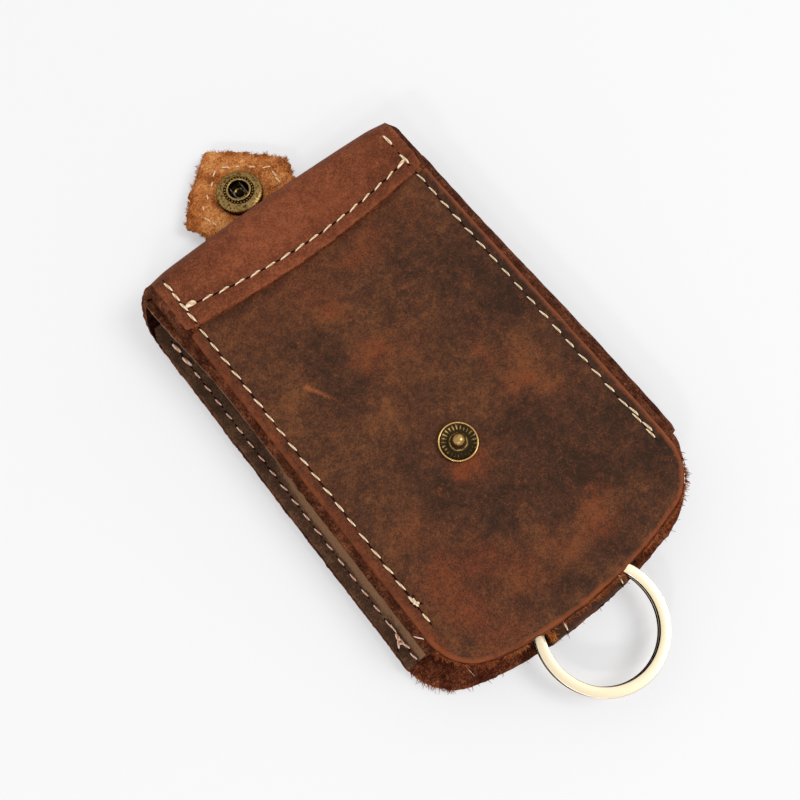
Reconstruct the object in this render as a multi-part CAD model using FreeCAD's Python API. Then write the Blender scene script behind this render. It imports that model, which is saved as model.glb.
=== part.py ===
import FreeCAD, Part
import math
import os

V = FreeCAD.Vector

# Key case with a pull strap, in millimetres. The case lies on its back panel, +Z up.
# The folded top end is towards +Y and the open mouth towards -Y.
# Plan sizes are measured from the fold line, which is y = 0 until the parts are placed.

# Leather thicknesses
panel_t = 2.0
gusset_t = 1.4
strap_t = 1.6

# Panels: the back is wider than the front, so the sides slope
front_width = 68.6
back_width = 82.0
pouch_height = 10.6
front_length = 110.6
front_corner_r = 12.0
front_mouth_r = 98.0
front_top_inset = 0.5
back_length = 114.8
back_corner_r = 14.0
back_mouth_r = 114.0

# Fold at the top end and the lap over the front panel
fold_reach = 8.3
fold_skew = 2.2
lap_length = 13.7
lap_edge_r = 130.0

# Gussets: outward flanges joined by a wall that leans inwards
gusset_length = 96.2
gusset_top_gap = 0.3
lower_flange = 7.5
upper_flange = 6.1
lower_bend_r = 3.0
upper_bend_r = 1.8

# Split ring: two turns of flat wire
ring_od = 30.0
ring_wire_w = 2.4
ring_wire_t = 1.4
ring_turn_gap = 0.1
ring_step_angle = 16.0
ring_step_turn = 140.0

# Pull strap, its loop round the ring and the slot it runs through
strap_line_x = -2.5
strap_floor_gap = 0.3
strap_side_room = 1.8
loop_show = 3.5
loop_gap = 0.3
loop_slack = 0.2
loop_drop = 6.0
loop_drop_r = 3.0
loop_sewn = 14.5
slot_side_gap = 0.3
slot_top_gap = 0.8

# Tab: arrow-shaped end of the strap, bent at its neck
neck_room = 1.3
neck_gap = 0.3
throat_width = 26.0
throat_set = 3.1
tab_width = 30.0
shoulder_set = 9.4
tab_length = 23.1
socket_set = 7.8

# Snap stud and the rivet post behind it
stud_set = 67.8
stud_d = 9.1
stud_base_t = 0.5
stud_rim_w = 0.7
stud_rim_h = 0.9
stud_hub_d = 4.4
stud_neck_d = 2.3
stud_ball_d = 3.3
stud_height = 3.6
post_d = 2.4
post_gap = 0.1
post_flange_d = 9.0
post_flange_t = 0.6
post_grip = 0.4

# Snap socket, its spring wires and the cap that holds it
socket_d = 11.8
socket_rim_h = 1.9
socket_height = 2.9
socket_bore_d = 5.2
socket_bead_w = 0.6
socket_floor_t = 0.5
socket_groove_d = 7.0
socket_groove_h = 0.9
spring_wire_d = 0.5
spring_spread = 3.0
spring_end_gap = 0.1
cap_d = 12.4
cap_h = 1.6
cap_rim_h = 0.5
cap_curl_d = 3.8
cap_curl_t = 0.4

# Thread and seams
stitch_length = 3.0
stitch_width = 0.8
stitch_height = 0.45
seam_margin = 2.7
seam_stop = 16.5
pitch_left = 4.26
pitch_right = 4.57
pitch_lap = 4.0
pitch_strap = 4.4
lap_seam_inset = 4.5
lap_seam_half = 28.0
lap_edge_room = 0.5
flange_seam_start = 3.2
strap_seam_inset = 3.4
tab_seam_inset = 4.4

# Levels and places that follow from the sizes above
front_under = panel_t + pouch_height
front_top = front_under + panel_t
lap_top = front_top + panel_t
fold_lower_r = lap_top / 2 + fold_skew
fold_upper_r = lap_top / 2 - fold_skew
fold_foot_y = fold_reach - fold_lower_r
gusset_top_y = fold_foot_y - gusset_top_gap
flange_top = panel_t + gusset_t

strap_under = panel_t + strap_floor_gap
strap_top = strap_under + strap_t
ring_under = strap_top + loop_gap
ring_top = ring_under + 2 * ring_wire_t + ring_turn_gap
loop_under = ring_top + loop_gap
loop_top = loop_under + strap_t
loop_bend_r = (loop_under - strap_top) / 2 + strap_t / 2
loop_end_y = -front_length - loop_show
loop_bend_y = loop_end_y + loop_bend_r + strap_t / 2

ring_inner_r = ring_od / 2 - ring_wire_w
strap_width = 2 * (ring_inner_r - strap_side_room)
ring_back_set = math.sqrt(ring_inner_r ** 2 - (strap_width / 2) ** 2)
ring_y = loop_bend_y - loop_slack - ring_back_set
loop_drop_y = ring_y + ring_od / 2 + loop_gap + strap_t
loop_sewn_y = loop_drop_y + loop_drop
loop_tail_y = loop_sewn_y + loop_sewn

neck_y = fold_reach + neck_room
tab_tip_y = neck_y + tab_length
socket_y = neck_y + socket_set
stud_y = -stud_set

# The finished part stands centred over the origin
shift = V(0, -(ring_y - ring_od / 2 + tab_tip_y) / 2, 0)


def unit(a, b):
    """Direction from point a to point b in the plane."""
    length = math.hypot(b[0] - a[0], b[1] - a[1])
    return (b[0] - a[0]) / length, (b[1] - a[1]) / length


def offset_path(points, d):
    """Corner points of a path moved sideways by d, to the left of its direction."""
    dirs = [unit(a, b) for a, b in zip(points, points[1:])]
    moved = []
    for i, p in enumerate(points):
        before = dirs[max(i - 1, 0)]
        after = dirs[min(i, len(dirs) - 1)]
        bend = 1 + before[0] * after[0] + before[1] * after[1]
        nx = -(before[1] + after[1]) / bend
        ny = (before[0] + after[0]) / bend
        moved.append((p[0] + d * nx, p[1] + d * ny))
    return moved


def turn_at(a, b, c):
    """Signed turn of the path a, b, c at b, in radians, positive to the left."""
    u, w = unit(a, b), unit(b, c)
    return math.atan2(u[0] * w[1] - u[1] * w[0], u[0] * w[0] + u[1] * w[1])


def rounded_edges(points, radii, place):
    """Straight runs joined by tangent arcs, one radius for each inner point."""
    edges = []
    start = points[0]
    for i, r in enumerate(radii):
        a, b, c = points[i:i + 3]
        u, w = unit(a, b), unit(b, c)
        turn = turn_at(a, b, c)
        reach = r * math.tan(abs(turn) / 2)
        first = (b[0] - u[0] * reach, b[1] - u[1] * reach)
        last = (b[0] + w[0] * reach, b[1] + w[1] * reach)
        side = math.copysign(1, turn)
        centre = (first[0] - u[1] * r * side, first[1] + u[0] * r * side)
        away = unit(centre, b)
        middle = (centre[0] + away[0] * r, centre[1] + away[1] * r)
        if math.dist(start, first) > 1e-6:
            edges.append(Part.LineSegment(place(*start), place(*first)).toShape())
        edges.append(Part.Arc(place(*first), place(*middle), place(*last)).toShape())
        start = last
    if math.dist(start, points[-1]) > 1e-6:
        edges.append(Part.LineSegment(place(*start), place(*points[-1])).toShape())
    return edges


def bent_strip(points, radii, thickness, place):
    """Face of a strip of even thickness bent along a path of runs and arcs."""
    half = thickness / 2
    turns = [turn_at(*points[i:i + 3]) for i in range(len(radii))]
    left_r = [r - math.copysign(half, t) for r, t in zip(radii, turns)]
    right_r = [r + math.copysign(half, t) for r, t in zip(radii, turns)]
    left = offset_path(points, half)
    right = offset_path(points, -half)
    edges = rounded_edges(left, left_r, place) + rounded_edges(right, right_r, place)
    edges.append(Part.LineSegment(place(*left[0]), place(*right[0])).toShape())
    edges.append(Part.LineSegment(place(*left[-1]), place(*right[-1])).toShape())
    return Part.Face(Part.Wire(Part.__sortEdges__(edges)))


def across(x):
    """Placing of a side profile (y, z) in the plane at x."""
    return lambda y, z: V(x, y, z)


def along(y):
    """Placing of a cross section (x, z) in the plane at y."""
    return lambda x, z: V(x, y, z)


def box(x0, x1, y0, y1, z0, z1):
    """Box between two corners."""
    return Part.makeBox(x1 - x0, y1 - y0, z1 - z0, V(x0, y0, z0))


def prism(points, z0, z1):
    """Solid over a plan of straight edges, from z0 to z1."""
    corners = [V(x, y, z0) for x, y in points]
    wire = Part.makePolygon(corners + corners[:1])
    return Part.Face(wire).extrude(V(0, 0, z1 - z0))


def turned(profile, x, y, z):
    """Solid of a profile of (radius, height) points turned about a vertical axis."""
    corners = [V(r, 0, h) for r, h in profile]
    wire = Part.makePolygon(corners + corners[:1])
    solid = Part.Face(wire).revolve(V(0, 0, 0), V(0, 0, 1), 360)
    solid.translate(V(x, y, z))
    return solid


def mouth_plan(width, top_y, length, corner_r, mouth_r, z0, z1):
    """Panel with a straight top end and a crowned mouth with round corners."""
    half = width / 2
    centre_y = mouth_r - length
    inner = mouth_r - corner_r
    corner_x = half - corner_r
    corner_y = centre_y - math.sqrt(inner ** 2 - corner_x ** 2)
    out = unit((0, centre_y), (corner_x, corner_y))
    join = (corner_x + out[0] * corner_r, corner_y + out[1] * corner_r)
    mid_angle = (math.atan2(out[1], out[0])) / 2
    mid = (corner_x + corner_r * math.cos(mid_angle), corner_y + corner_r * math.sin(mid_angle))

    def at(x, y):
        return V(x, y, z0)

    edges = [
        Part.LineSegment(at(-half, top_y), at(half, top_y)),
        Part.LineSegment(at(half, top_y), at(half, corner_y)),
        Part.Arc(at(half, corner_y), at(*mid), at(*join)),
        Part.Arc(at(*join), at(0, -length), at(-join[0], join[1])),
        Part.Arc(at(-join[0], join[1]), at(-mid[0], mid[1]), at(-half, corner_y)),
        Part.LineSegment(at(-half, corner_y), at(-half, top_y)),
    ]
    wire = Part.Wire([edge.toShape() for edge in edges])
    return Part.Face(wire).extrude(V(0, 0, z1 - z0))


def lap_edge_y(x, inset=0.0):
    """Level of the lap's curved edge, or of a line set in from it, at x."""
    r = lap_edge_r - inset
    return lap_edge_r - lap_length - math.sqrt(r ** 2 - x ** 2)


def back_panel():
    """Back, fold and lap in one piece, with the strap's slot in the fold."""
    back = mouth_plan(back_width, fold_foot_y, back_length, back_corner_r, back_mouth_r, 0, panel_t)
    half_t = panel_t / 2
    path = [(fold_foot_y, half_t), (fold_reach - half_t, half_t),
            (fold_reach - half_t, lap_top - half_t), (-lap_length, lap_top - half_t)]
    radii = [fold_lower_r - half_t, fold_upper_r - half_t]
    half = back_width / 2
    fold = bent_strip(path, radii, panel_t, across(-half)).extrude(V(back_width, 0, 0))
    narrow = front_width / 2
    sides = [(-half, 0), (half, 0), (half, panel_t), (narrow, front_top),
             (narrow, lap_top), (-narrow, lap_top), (-narrow, front_top), (-half, panel_t)]
    corners = [V(x, -lap_length, z) for x, z in sides]
    taper = Part.Face(Part.makePolygon(corners + corners[:1]))
    fold = fold.common(taper.extrude(V(0, lap_length + fold_reach, 0)))
    rim = Part.makeCylinder(lap_edge_r, lap_top, V(0, lap_edge_r - lap_length, 0))
    fold = fold.common(rim)
    slot_half = strap_width / 2 + slot_side_gap
    slot = box(strap_line_x - slot_half, strap_line_x + slot_half, fold_foot_y, fold_reach,
               panel_t, strap_top + slot_top_gap)
    return back.fuse(fold).removeSplitter().cut(slot)


def front_panel():
    """Front leather, with the hole for the stud's post."""
    panel = mouth_plan(front_width, -front_top_inset, front_length, front_corner_r,
                       front_mouth_r, front_under, front_top)
    hole = Part.makeCylinder(post_d / 2 + post_gap, panel_t, V(strap_line_x, stud_y, front_under))
    return panel.cut(hole)


def gusset(side):
    """Side strip with a flange on each panel; side is 1 for +X and -1 for -X."""
    low = panel_t + gusset_t / 2
    high = front_under - gusset_t / 2
    path = [(side * back_width / 2, low), (side * (back_width / 2 - lower_flange), low),
            (side * (front_width / 2 - upper_flange), high), (side * front_width / 2, high)]
    section = bent_strip(path, [lower_bend_r, upper_bend_r], gusset_t, along(gusset_top_y))
    return section.extrude(V(0, -gusset_length, 0))


def pull_strap():
    """Strap with the loop that is folded over the ring and sewn back on the strap."""
    left = strap_line_x - strap_width / 2
    strap = box(left, left + strap_width, loop_bend_y, neck_y - neck_gap / 2, strap_under, strap_top)
    low = strap_under + strap_t / 2
    high = loop_under + strap_t / 2
    sewn = strap_top + strap_t / 2
    turn_y = loop_bend_y - loop_bend_r
    path = [(loop_bend_y, low), (turn_y, low), (turn_y, high), (loop_drop_y, high),
            (loop_sewn_y, sewn), (loop_tail_y, sewn)]
    radii = [loop_bend_r, loop_bend_r, loop_drop_r, loop_drop_r]
    loop = bent_strip(path, radii, strap_t, across(left)).extrude(V(strap_width, 0, 0))
    return strap.fuse(loop).removeSplitter()


def tab_plan(inset=0.0):
    """Arrow outline of the tab, or a line set in from it, from neck to neck by the tip."""
    half = strap_width / 2
    right = [(half, 0), (throat_width / 2, throat_set), (tab_width / 2, shoulder_set), (0, tab_length)]
    path = right + [(-x, y) for x, y in reversed(right[:-1])]
    return [(strap_line_x + x, neck_y + y) for x, y in offset_path(path, inset)]


def strap_tab():
    """Arrow-shaped end of the strap, with the hole for the cap's stem."""
    tab = prism(tab_plan(), strap_under, strap_top)
    tab = tab.cut(box(strap_line_x - tab_width, strap_line_x + tab_width, neck_y,
                      neck_y + neck_gap / 2, strap_under, strap_top))
    hole = Part.makeCylinder(post_d / 2 + post_gap, strap_t, V(strap_line_x, socket_y, strap_under))
    return tab.cut(hole)


def ring_sector(z, start, sweep):
    """Part of one flat turn of the ring, from an angle and over a sweep in degrees."""
    outer = ring_od / 2
    corners = [V(ring_inner_r, 0, z), V(outer, 0, z), V(outer, 0, z + ring_wire_t),
               V(ring_inner_r, 0, z + ring_wire_t)]
    section = Part.Face(Part.makePolygon(corners + corners[:1]))
    section.rotate(V(0, 0, 0), V(0, 0, 1), start)
    return section.revolve(V(0, 0, 0), V(0, 0, 1), sweep)


def ring_step(z_from, z_to, start, sweep):
    """Stretch of wire that climbs from one turn to the next."""
    wires = []
    for z, angle in ((z_from, start), (z_to, start + sweep)):
        c, s = math.cos(math.radians(angle)), math.sin(math.radians(angle))
        corners = [V(r * c, r * s, h) for r, h in (
            (ring_inner_r, z), (ring_od / 2, z), (ring_od / 2, z + ring_wire_t),
            (ring_inner_r, z + ring_wire_t))]
        wires.append(Part.makePolygon(corners + corners[:1]))
    return Part.makeLoft(wires, True, True)


def key_ring():
    """Two turns of flat wire with one step between them."""
    upper = ring_under + ring_wire_t + ring_turn_gap
    start = ring_step_turn + ring_step_angle / 2
    sweep = 360 - ring_step_angle
    lower_turn = ring_sector(ring_under, start, sweep)
    step = ring_step(ring_under, upper, start + sweep, ring_step_angle)
    upper_turn = ring_sector(upper, start, sweep)
    ring = lower_turn.fuse([step, upper_turn])
    ring.translate(V(strap_line_x, ring_y, 0))
    return ring


def snap_stud():
    """Dished disc with a raised rim, a hub and a ball on a neck."""
    rim = stud_d / 2
    dish = stud_base_t
    neck = stud_neck_d / 2
    ball_r = stud_ball_d / 2
    ball_z = stud_height - ball_r
    profile = [(0, 0), (rim, 0), (rim, stud_rim_h), (rim - stud_rim_w, stud_rim_h),
               (rim - 1.5 * stud_rim_w, dish), (stud_hub_d / 2, dish),
               (stud_hub_d / 2 - stud_rim_w, stud_rim_h), (neck, stud_rim_h), (neck, ball_z),
               (0, ball_z)]
    disc = turned(profile, strap_line_x, stud_y, front_top)
    ball = Part.makeSphere(ball_r, V(strap_line_x, stud_y, front_top + ball_z))
    bore = Part.makeCylinder(post_d / 2 + post_gap, post_grip + post_gap,
                             V(strap_line_x, stud_y, front_top))
    return disc.fuse(ball).removeSplitter().cut(bore)


def stud_post():
    """Rivet behind the front panel: a flange and a stem that grips the stud."""
    profile = [(0, 0), (post_flange_d / 2, 0), (post_flange_d / 2, post_flange_t),
               (post_d / 2, post_flange_t), (post_d / 2, post_flange_t + panel_t + post_grip),
               (0, post_flange_t + panel_t + post_grip)]
    return turned(profile, strap_line_x, stud_y, front_under - post_flange_t)


def snap_socket():
    """Round socket with a beaded hole and a groove inside for the spring wires."""
    outer = socket_d / 2
    bore = socket_bore_d / 2
    groove = socket_groove_d / 2
    bead = bore + socket_bead_w
    groove_z = (socket_floor_t + socket_height - socket_groove_h) / 2
    stem = post_d / 2 + post_gap
    profile = [(stem, 0), (outer, 0), (outer, socket_rim_h), (bead, socket_height - socket_bead_w),
               (bead, socket_height), (bore, socket_height), (bore, groove_z + socket_groove_h),
               (groove, groove_z + socket_groove_h), (groove, groove_z), (bore, groove_z),
               (bore, socket_floor_t), (stem, socket_floor_t)]
    return turned(profile, strap_line_x, socket_y, strap_top)


def socket_spring():
    """Two straight wires held by their ends in the socket's groove."""
    half = spring_spread / 2
    reach = math.sqrt((socket_groove_d / 2 - spring_end_gap) ** 2 - (half + spring_wire_d / 2) ** 2)
    level = strap_top + (socket_floor_t + socket_height) / 2
    wires = []
    for side in (-1, 1):
        foot = V(strap_line_x + side * half, socket_y - reach, level)
        wires.append(Part.makeCylinder(spring_wire_d / 2, 2 * reach, foot, V(0, 1, 0)))
    return Part.Compound(wires)


def snap_cap():
    """Domed cap on the grain side of the tab, its stem curled over inside the socket."""
    outer = cap_d / 2
    dome_r = (outer ** 2 + (cap_h - cap_rim_h) ** 2) / (2 * (cap_h - cap_rim_h))
    dome = Part.makeSphere(dome_r, V(0, 0, dome_r - cap_h))
    cap = dome.common(Part.makeCylinder(outer, cap_h, V(0, 0, -cap_h)))
    stem_top = strap_t + socket_floor_t + cap_curl_t
    stem = Part.makeCylinder(post_d / 2, stem_top, V(0, 0, 0))
    curl = Part.makeCylinder(cap_curl_d / 2, cap_curl_t, V(0, 0, stem_top - cap_curl_t))
    solid = cap.fuse([stem, curl]).removeSplitter()
    solid.translate(V(strap_line_x, socket_y, strap_under))
    return solid


def stitch(x, y, z, angle):
    """One stitch, flat on the leather and round on top, centred at a point."""
    half_w = stitch_width / 2
    half_l = stitch_length / 2
    arc = Part.Arc(V(-half_l, -half_w, 0), V(-half_l, 0, stitch_height), V(-half_l, half_w, 0))
    chord = Part.LineSegment(V(-half_l, half_w, 0), V(-half_l, -half_w, 0))
    face = Part.Face(Part.Wire([arc.toShape(), chord.toShape()]))
    thread = face.extrude(V(stitch_length, 0, 0))
    thread.rotate(V(0, 0, 0), V(0, 0, 1), angle)
    thread.translate(V(x, y, z))
    return thread


def stitch_row(start, end, pitch, z):
    """Stitches at an even pitch on a straight line; the pitch is stretched to fit it."""
    run = math.dist(start, end) - stitch_length
    count = max(1, round(run / pitch))
    along_x, along_y = unit(start, end)
    angle = math.degrees(math.atan2(along_y, along_x))
    row = []
    for i in range(count + 1):
        reach = stitch_length / 2 + run * i / count
        row.append(stitch(start[0] + along_x * reach, start[1] + along_y * reach, z, angle))
    return row


def seam_front(side, pitch):
    """Side seam: a short run on the lap and a long one down the front panel."""
    x = side * (front_width / 2 - seam_margin)
    edge = lap_edge_y(x)
    seam_end = seam_stop - front_length
    upper = stitch_row((x, 0), (x, edge + lap_edge_room), pitch, lap_top)
    lower = stitch_row((x, edge - lap_edge_room), (x, seam_end), pitch, front_top)
    return Part.Compound(upper + lower)


def seam_lap():
    """Curved seam that holds the lap on the front panel."""
    r = lap_edge_r - lap_seam_inset
    half_angle = math.asin(lap_seam_half / r)
    count = round(2 * half_angle * r / pitch_lap)
    row = []
    for i in range(count + 1):
        angle = half_angle * (2 * i / count - 1)
        x = r * math.sin(angle)
        row.append(stitch(x, lap_edge_y(x, lap_seam_inset), lap_top, math.degrees(angle)))
    return Part.Compound(row)


def seam_back(side, pitch):
    """Seam of a gusset's lower flange on the back panel."""
    x = side * (back_width / 2 - seam_margin)
    start = gusset_top_y - flange_seam_start
    end = gusset_top_y - gusset_length + lap_edge_room
    return Part.Compound(stitch_row((x, start), (x, end), pitch, flange_top))


def strap_edge_seam():
    """Thread along both edges of the strap, on the strap and on top of its loop."""
    half = strap_width / 2 - strap_seam_inset
    tail_end = loop_tail_y + lap_edge_room
    rows = []
    for x in (strap_line_x - half, strap_line_x + half):
        rows += stitch_row((x, tail_end), (x, neck_y - neck_gap), pitch_strap, strap_top)
        rows += stitch_row((x, loop_bend_y), (x, loop_drop_y - loop_drop_r), pitch_strap, loop_top)
    return Part.Compound(rows)


def loop_tack():
    """Row of stitches across the strap that closes the loop."""
    half = strap_width / 2 - strap_seam_inset
    y = (loop_sewn_y + loop_drop_r + loop_tail_y) / 2
    start = (strap_line_x - half, y)
    end = (strap_line_x + half, y)
    return Part.Compound(stitch_row(start, end, pitch_strap, strap_top + strap_t))


def tab_edge_seam():
    """Thread round the tab, inside its edge, from the throat to the tip and back."""
    line = tab_plan(tab_seam_inset)[1:-1]
    rows = []
    for start, end in zip(line, line[1:]):
        out = unit(start, end)
        ease = stitch_width
        first = (start[0] + out[0] * ease, start[1] + out[1] * ease)
        last = (end[0] - out[0] * ease, end[1] - out[1] * ease)
        rows += stitch_row(first, last, pitch_lap, strap_top)
    return Part.Compound(rows)


parts = {
    "back_panel": back_panel(),
    "front_panel": front_panel(),
    "gusset_left": gusset(-1),
    "gusset_right": gusset(1),
    "pull_strap": pull_strap(),
    "strap_tab": strap_tab(),
    "key_ring": key_ring(),
    "snap_stud": snap_stud(),
    "stud_post": stud_post(),
    "snap_socket": snap_socket(),
    "socket_spring": socket_spring(),
    "snap_cap": snap_cap(),
    "seam_front_left": seam_front(-1, pitch_left),
    "seam_front_right": seam_front(1, pitch_right),
    "seam_lap": seam_lap(),
    "seam_back_left": seam_back(-1, pitch_left),
    "seam_back_right": seam_back(1, pitch_right),
    "strap_edge_seam": strap_edge_seam(),
    "loop_tack": loop_tack(),
    "tab_edge_seam": tab_edge_seam(),
}

os.makedirs("parts", exist_ok=True)
for name, shape in parts.items():
    shape.translate(shift)
    shape.exportStep(f"parts/{name}.step")
    size = shape.BoundBox
    print(f"{name}: {len(shape.Solids)} solids, valid {shape.isValid()}, "
          f"{size.XLength:.1f} x {size.YLength:.1f} x {size.ZLength:.1f} mm, {shape.Volume:.0f} mm3")
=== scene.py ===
"""Looks of a pull-strap key case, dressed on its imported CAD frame. It runs inside Blender.

Lengths are in millimetres, and y counts from the fold line of the case, until a finished piece is
placed: place_in_frame() then turns them into metres of the shared frame.
"""

import logging
import math
import random
from collections.abc import Iterator, Sequence
from dataclasses import dataclass, field, replace
from enum import Enum

import bmesh
import bpy
from bmesh.types import BMEdge, BMesh, BMFace, BMVert
from bpy.types import Material, Mesh, Node, NodeSocket, NodeTree, Object
from mathutils import Matrix, Vector, noise
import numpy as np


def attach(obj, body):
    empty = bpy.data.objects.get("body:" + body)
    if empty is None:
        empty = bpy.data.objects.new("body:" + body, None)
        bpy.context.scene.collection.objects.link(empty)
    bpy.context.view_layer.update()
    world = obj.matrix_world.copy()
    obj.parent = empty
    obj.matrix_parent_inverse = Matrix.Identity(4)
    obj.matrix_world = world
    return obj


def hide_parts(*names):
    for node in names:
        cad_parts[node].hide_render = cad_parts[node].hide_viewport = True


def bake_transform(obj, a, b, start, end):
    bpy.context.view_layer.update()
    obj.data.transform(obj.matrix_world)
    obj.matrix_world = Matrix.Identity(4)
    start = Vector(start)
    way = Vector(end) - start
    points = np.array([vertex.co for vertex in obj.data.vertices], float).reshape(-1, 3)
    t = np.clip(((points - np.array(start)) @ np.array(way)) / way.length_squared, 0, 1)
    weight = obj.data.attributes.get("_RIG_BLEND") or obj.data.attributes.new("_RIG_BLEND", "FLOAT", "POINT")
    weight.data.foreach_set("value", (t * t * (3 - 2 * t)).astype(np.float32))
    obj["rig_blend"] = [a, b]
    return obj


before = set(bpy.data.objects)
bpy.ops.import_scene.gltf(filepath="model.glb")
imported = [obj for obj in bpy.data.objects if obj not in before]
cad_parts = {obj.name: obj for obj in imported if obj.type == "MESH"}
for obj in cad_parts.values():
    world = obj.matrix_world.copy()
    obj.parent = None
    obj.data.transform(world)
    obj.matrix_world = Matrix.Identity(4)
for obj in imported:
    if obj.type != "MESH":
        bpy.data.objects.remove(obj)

log = logging.getLogger("key_case")

MM = 0.001
FOLD_LINE_Y = 49.87
STRAP_X = -2.5
UP = Vector((0, 0, 1))
# Distance at which a seam or a rim has no more effect on the leather
FAR = 9.0
MARKS = ("tone", "warm", "scuff", "wear")
NOISE_INPUTS = ("Scale", "Detail", "Roughness", "Distortion")
RANGE_INPUTS = ("From Min", "From Max", "To Max")

Waves = tuple[tuple[float, float, float], ...]
Root = tuple[Vector, Vector]


class Side(Enum):
    """The two long sides of the case."""

    LEFT = -1
    RIGHT = 1


class Skin(Enum):
    """Faces of a piece of leather, in the order of its material slots."""

    GRAIN = 0
    FLESH = 1
    EDGE = 2


class Body(Enum):
    """Moving bodies of the frame."""

    CASE = "case"
    STRAP = "strap"
    TAB = "tab"
    RING = "ring"


class Slot(Enum):
    """Material slots of the record."""

    FRONT = "front_leather"
    BACK = "back_leather"
    GUSSET = "gusset_leather"
    STRAP = "strap_leather"
    SUEDE = "tab_suede"
    TAN = "tan_thread"
    PINK = "pink_thread"
    SNAP = "snap_brass"
    RING = "ring_brass"
    SPRING = "spring_steel"


# Small tools


def linear(code: str) -> tuple[float, float, float, float]:
    """Linear colour of an sRGB hex value.

    Args:
        code: Six hex digits after a hash sign.

    Returns:
        Red, green, blue and an alpha of 1.
    """
    shares = [int(code[i : i + 2], 16) / 255 for i in (1, 3, 5)]
    red, green, blue = (s / 12.92 if s <= 0.04045 else ((s + 0.055) / 1.055) ** 2.4 for s in shares)
    return red, green, blue, 1.0


def part_way(low: float, high: float, value: float) -> float:
    """Even share of the way from low to high, from 0 to 1."""
    return min(1.0, max(0.0, (value - low) / (high - low)))


def smooth(low: float, high: float, value: float) -> float:
    """Eased share of the way from low to high, from 0 to 1."""
    share = part_way(low, high, value)
    return share * share * (3 - 2 * share)


def dent(distance: float, width: float) -> float:
    """Depth of a soft dent at a distance from its middle, from 1 to 0."""
    return math.exp(-((distance / width) ** 2))


def waver(a: float, b: float, size: float) -> float:
    """Smooth noise from about -1 to 1 over a plane, whose bumps are about size wide."""
    return noise.noise(Vector((a / size, b / size, 0.37)))


def stray(place: float, waves: Waves) -> float:
    """How far a cut line strays at a place; a wave has a reach, a row of the noise and a width."""
    return sum(reach * waver(place, row, width) for reach, row, width in waves)


def set_up(tree: NodeTree, node: Node, settings: dict, links: dict) -> None:
    """Gives a node its settings and links.

    Args:
        tree: The node tree.
        node: The node.
        settings: Values by property name, or by input name or number; stops fills a colour ramp.
        links: Source sockets by input name or number.
    """
    for key, value in settings.items():
        if key == "stops":
            ramp = node.color_ramp
            while len(ramp.elements) < len(value):
                ramp.elements.new(1.0)
            for element, (position, code) in zip(ramp.elements, value):
                element.position = position
                element.color = linear(code)
        elif isinstance(key, str) and hasattr(node, key):
            setattr(node, key, value)
        else:
            node.inputs[key].default_value = value
    for key, source in links.items():
        tree.links.new(source, node.inputs[key])


def add_node(
    tree: NodeTree, kind: str, settings: dict | None = None, links: dict | None = None, out: int | str = 0
) -> NodeSocket:
    """Adds a node to a tree.

    Args:
        tree: The node tree.
        kind: The node's type name after ShaderNode.
        settings: Its settings, as set_up takes them.
        links: Its links, as set_up takes them.
        out: Name or number of the output that is wanted.

    Returns:
        That output.
    """
    node = tree.nodes.new(f"ShaderNode{kind}")
    set_up(tree, node, settings or {}, links or {})
    return node.outputs[out]


def new_material(name: str) -> tuple[Material, NodeTree, Node, NodeSocket]:
    """Makes a node material with nothing on its shader yet.

    Args:
        name: The material's name.

    Returns:
        The material, its node tree, its Principled shader and its Object coordinates.
    """
    material = bpy.data.materials.new(name)
    material.use_nodes = True
    tree = material.node_tree
    where = add_node(tree, "TexCoord", out="Object")
    return material, tree, tree.nodes["Principled BSDF"], where


def place_in_frame(bm: BMesh) -> None:
    """Moves a mesh in millimetres from the fold line to its place in the shared frame."""
    matrix = Matrix.Scale(MM, 4) @ Matrix.Translation((0, FOLD_LINE_Y, 0))
    bmesh.ops.transform(bm, matrix=matrix, verts=bm.verts)


def keep_shape(bm: BMesh, name: str) -> Mesh:
    """Keeps a mesh as a shape and frees it.

    Args:
        bm: The mesh.
        name: The shape's name.

    Returns:
        The shape.
    """
    shape = bpy.data.meshes.new(name)
    bm.to_mesh(shape)
    bm.free()
    return shape


def make_piece(bm: BMesh, name: str, finishes: Sequence[Material]) -> Object:
    """Turns a mesh into a smooth-shaded object at the origin and frees the mesh.

    Args:
        bm: The mesh in millimetres, in any number of shells.
        name: The object's name.
        finishes: Its materials, in slot order.

    Returns:
        The new object.
    """
    place_in_frame(bm)
    for face in bm.faces:
        face.smooth = True
    mesh = keep_shape(bm, name)
    for finish in finishes:
        mesh.materials.append(finish)
    piece = bpy.data.objects.new(name, mesh)
    bpy.context.scene.collection.objects.link(piece)
    return piece


def settle(piece: Object, body: Body, slot: Slot, *nodes: str) -> None:
    """Puts a piece on its body and hides the nodes that it stands for.

    Args:
        piece: The piece.
        body: The body that it rides on.
        slot: Not used.
        *nodes: The CAD nodes that it stands for.
    """
    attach(piece, body.value)
    if nodes:
        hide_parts(*nodes)
    log.info("%s: %d faces on %s", piece.name, len(piece.data.polygons), body.value)


def dress_node(node: str, finish: Material, slot: Slot) -> None:
    """Gives a CAD node that stays in view its finish.

    Args:
        node: The node.
        finish: Its material.
        slot: Not used.
    """
    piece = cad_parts[node]
    piece.data.materials.clear()
    piece.data.materials.append(finish)
    log.info("%s: kept from the frame", node)


def stamp(bm: BMesh, shape: Mesh, matrix: Matrix, material: int = 0) -> None:
    """Adds a copy of a small shape at a place.

    Args:
        bm: The mesh that gets the copy.
        shape: The small shape.
        matrix: Its place, turn and size.
        material: Material slot of the copy.
    """
    first_vert, first_face = len(bm.verts), len(bm.faces)
    bm.from_mesh(shape)
    bm.verts.ensure_lookup_table()
    bm.faces.ensure_lookup_table()
    bmesh.ops.transform(bm, matrix=matrix, verts=bm.verts[first_vert:])
    for face in bm.faces[first_face:]:
        face.material_index = material


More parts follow.
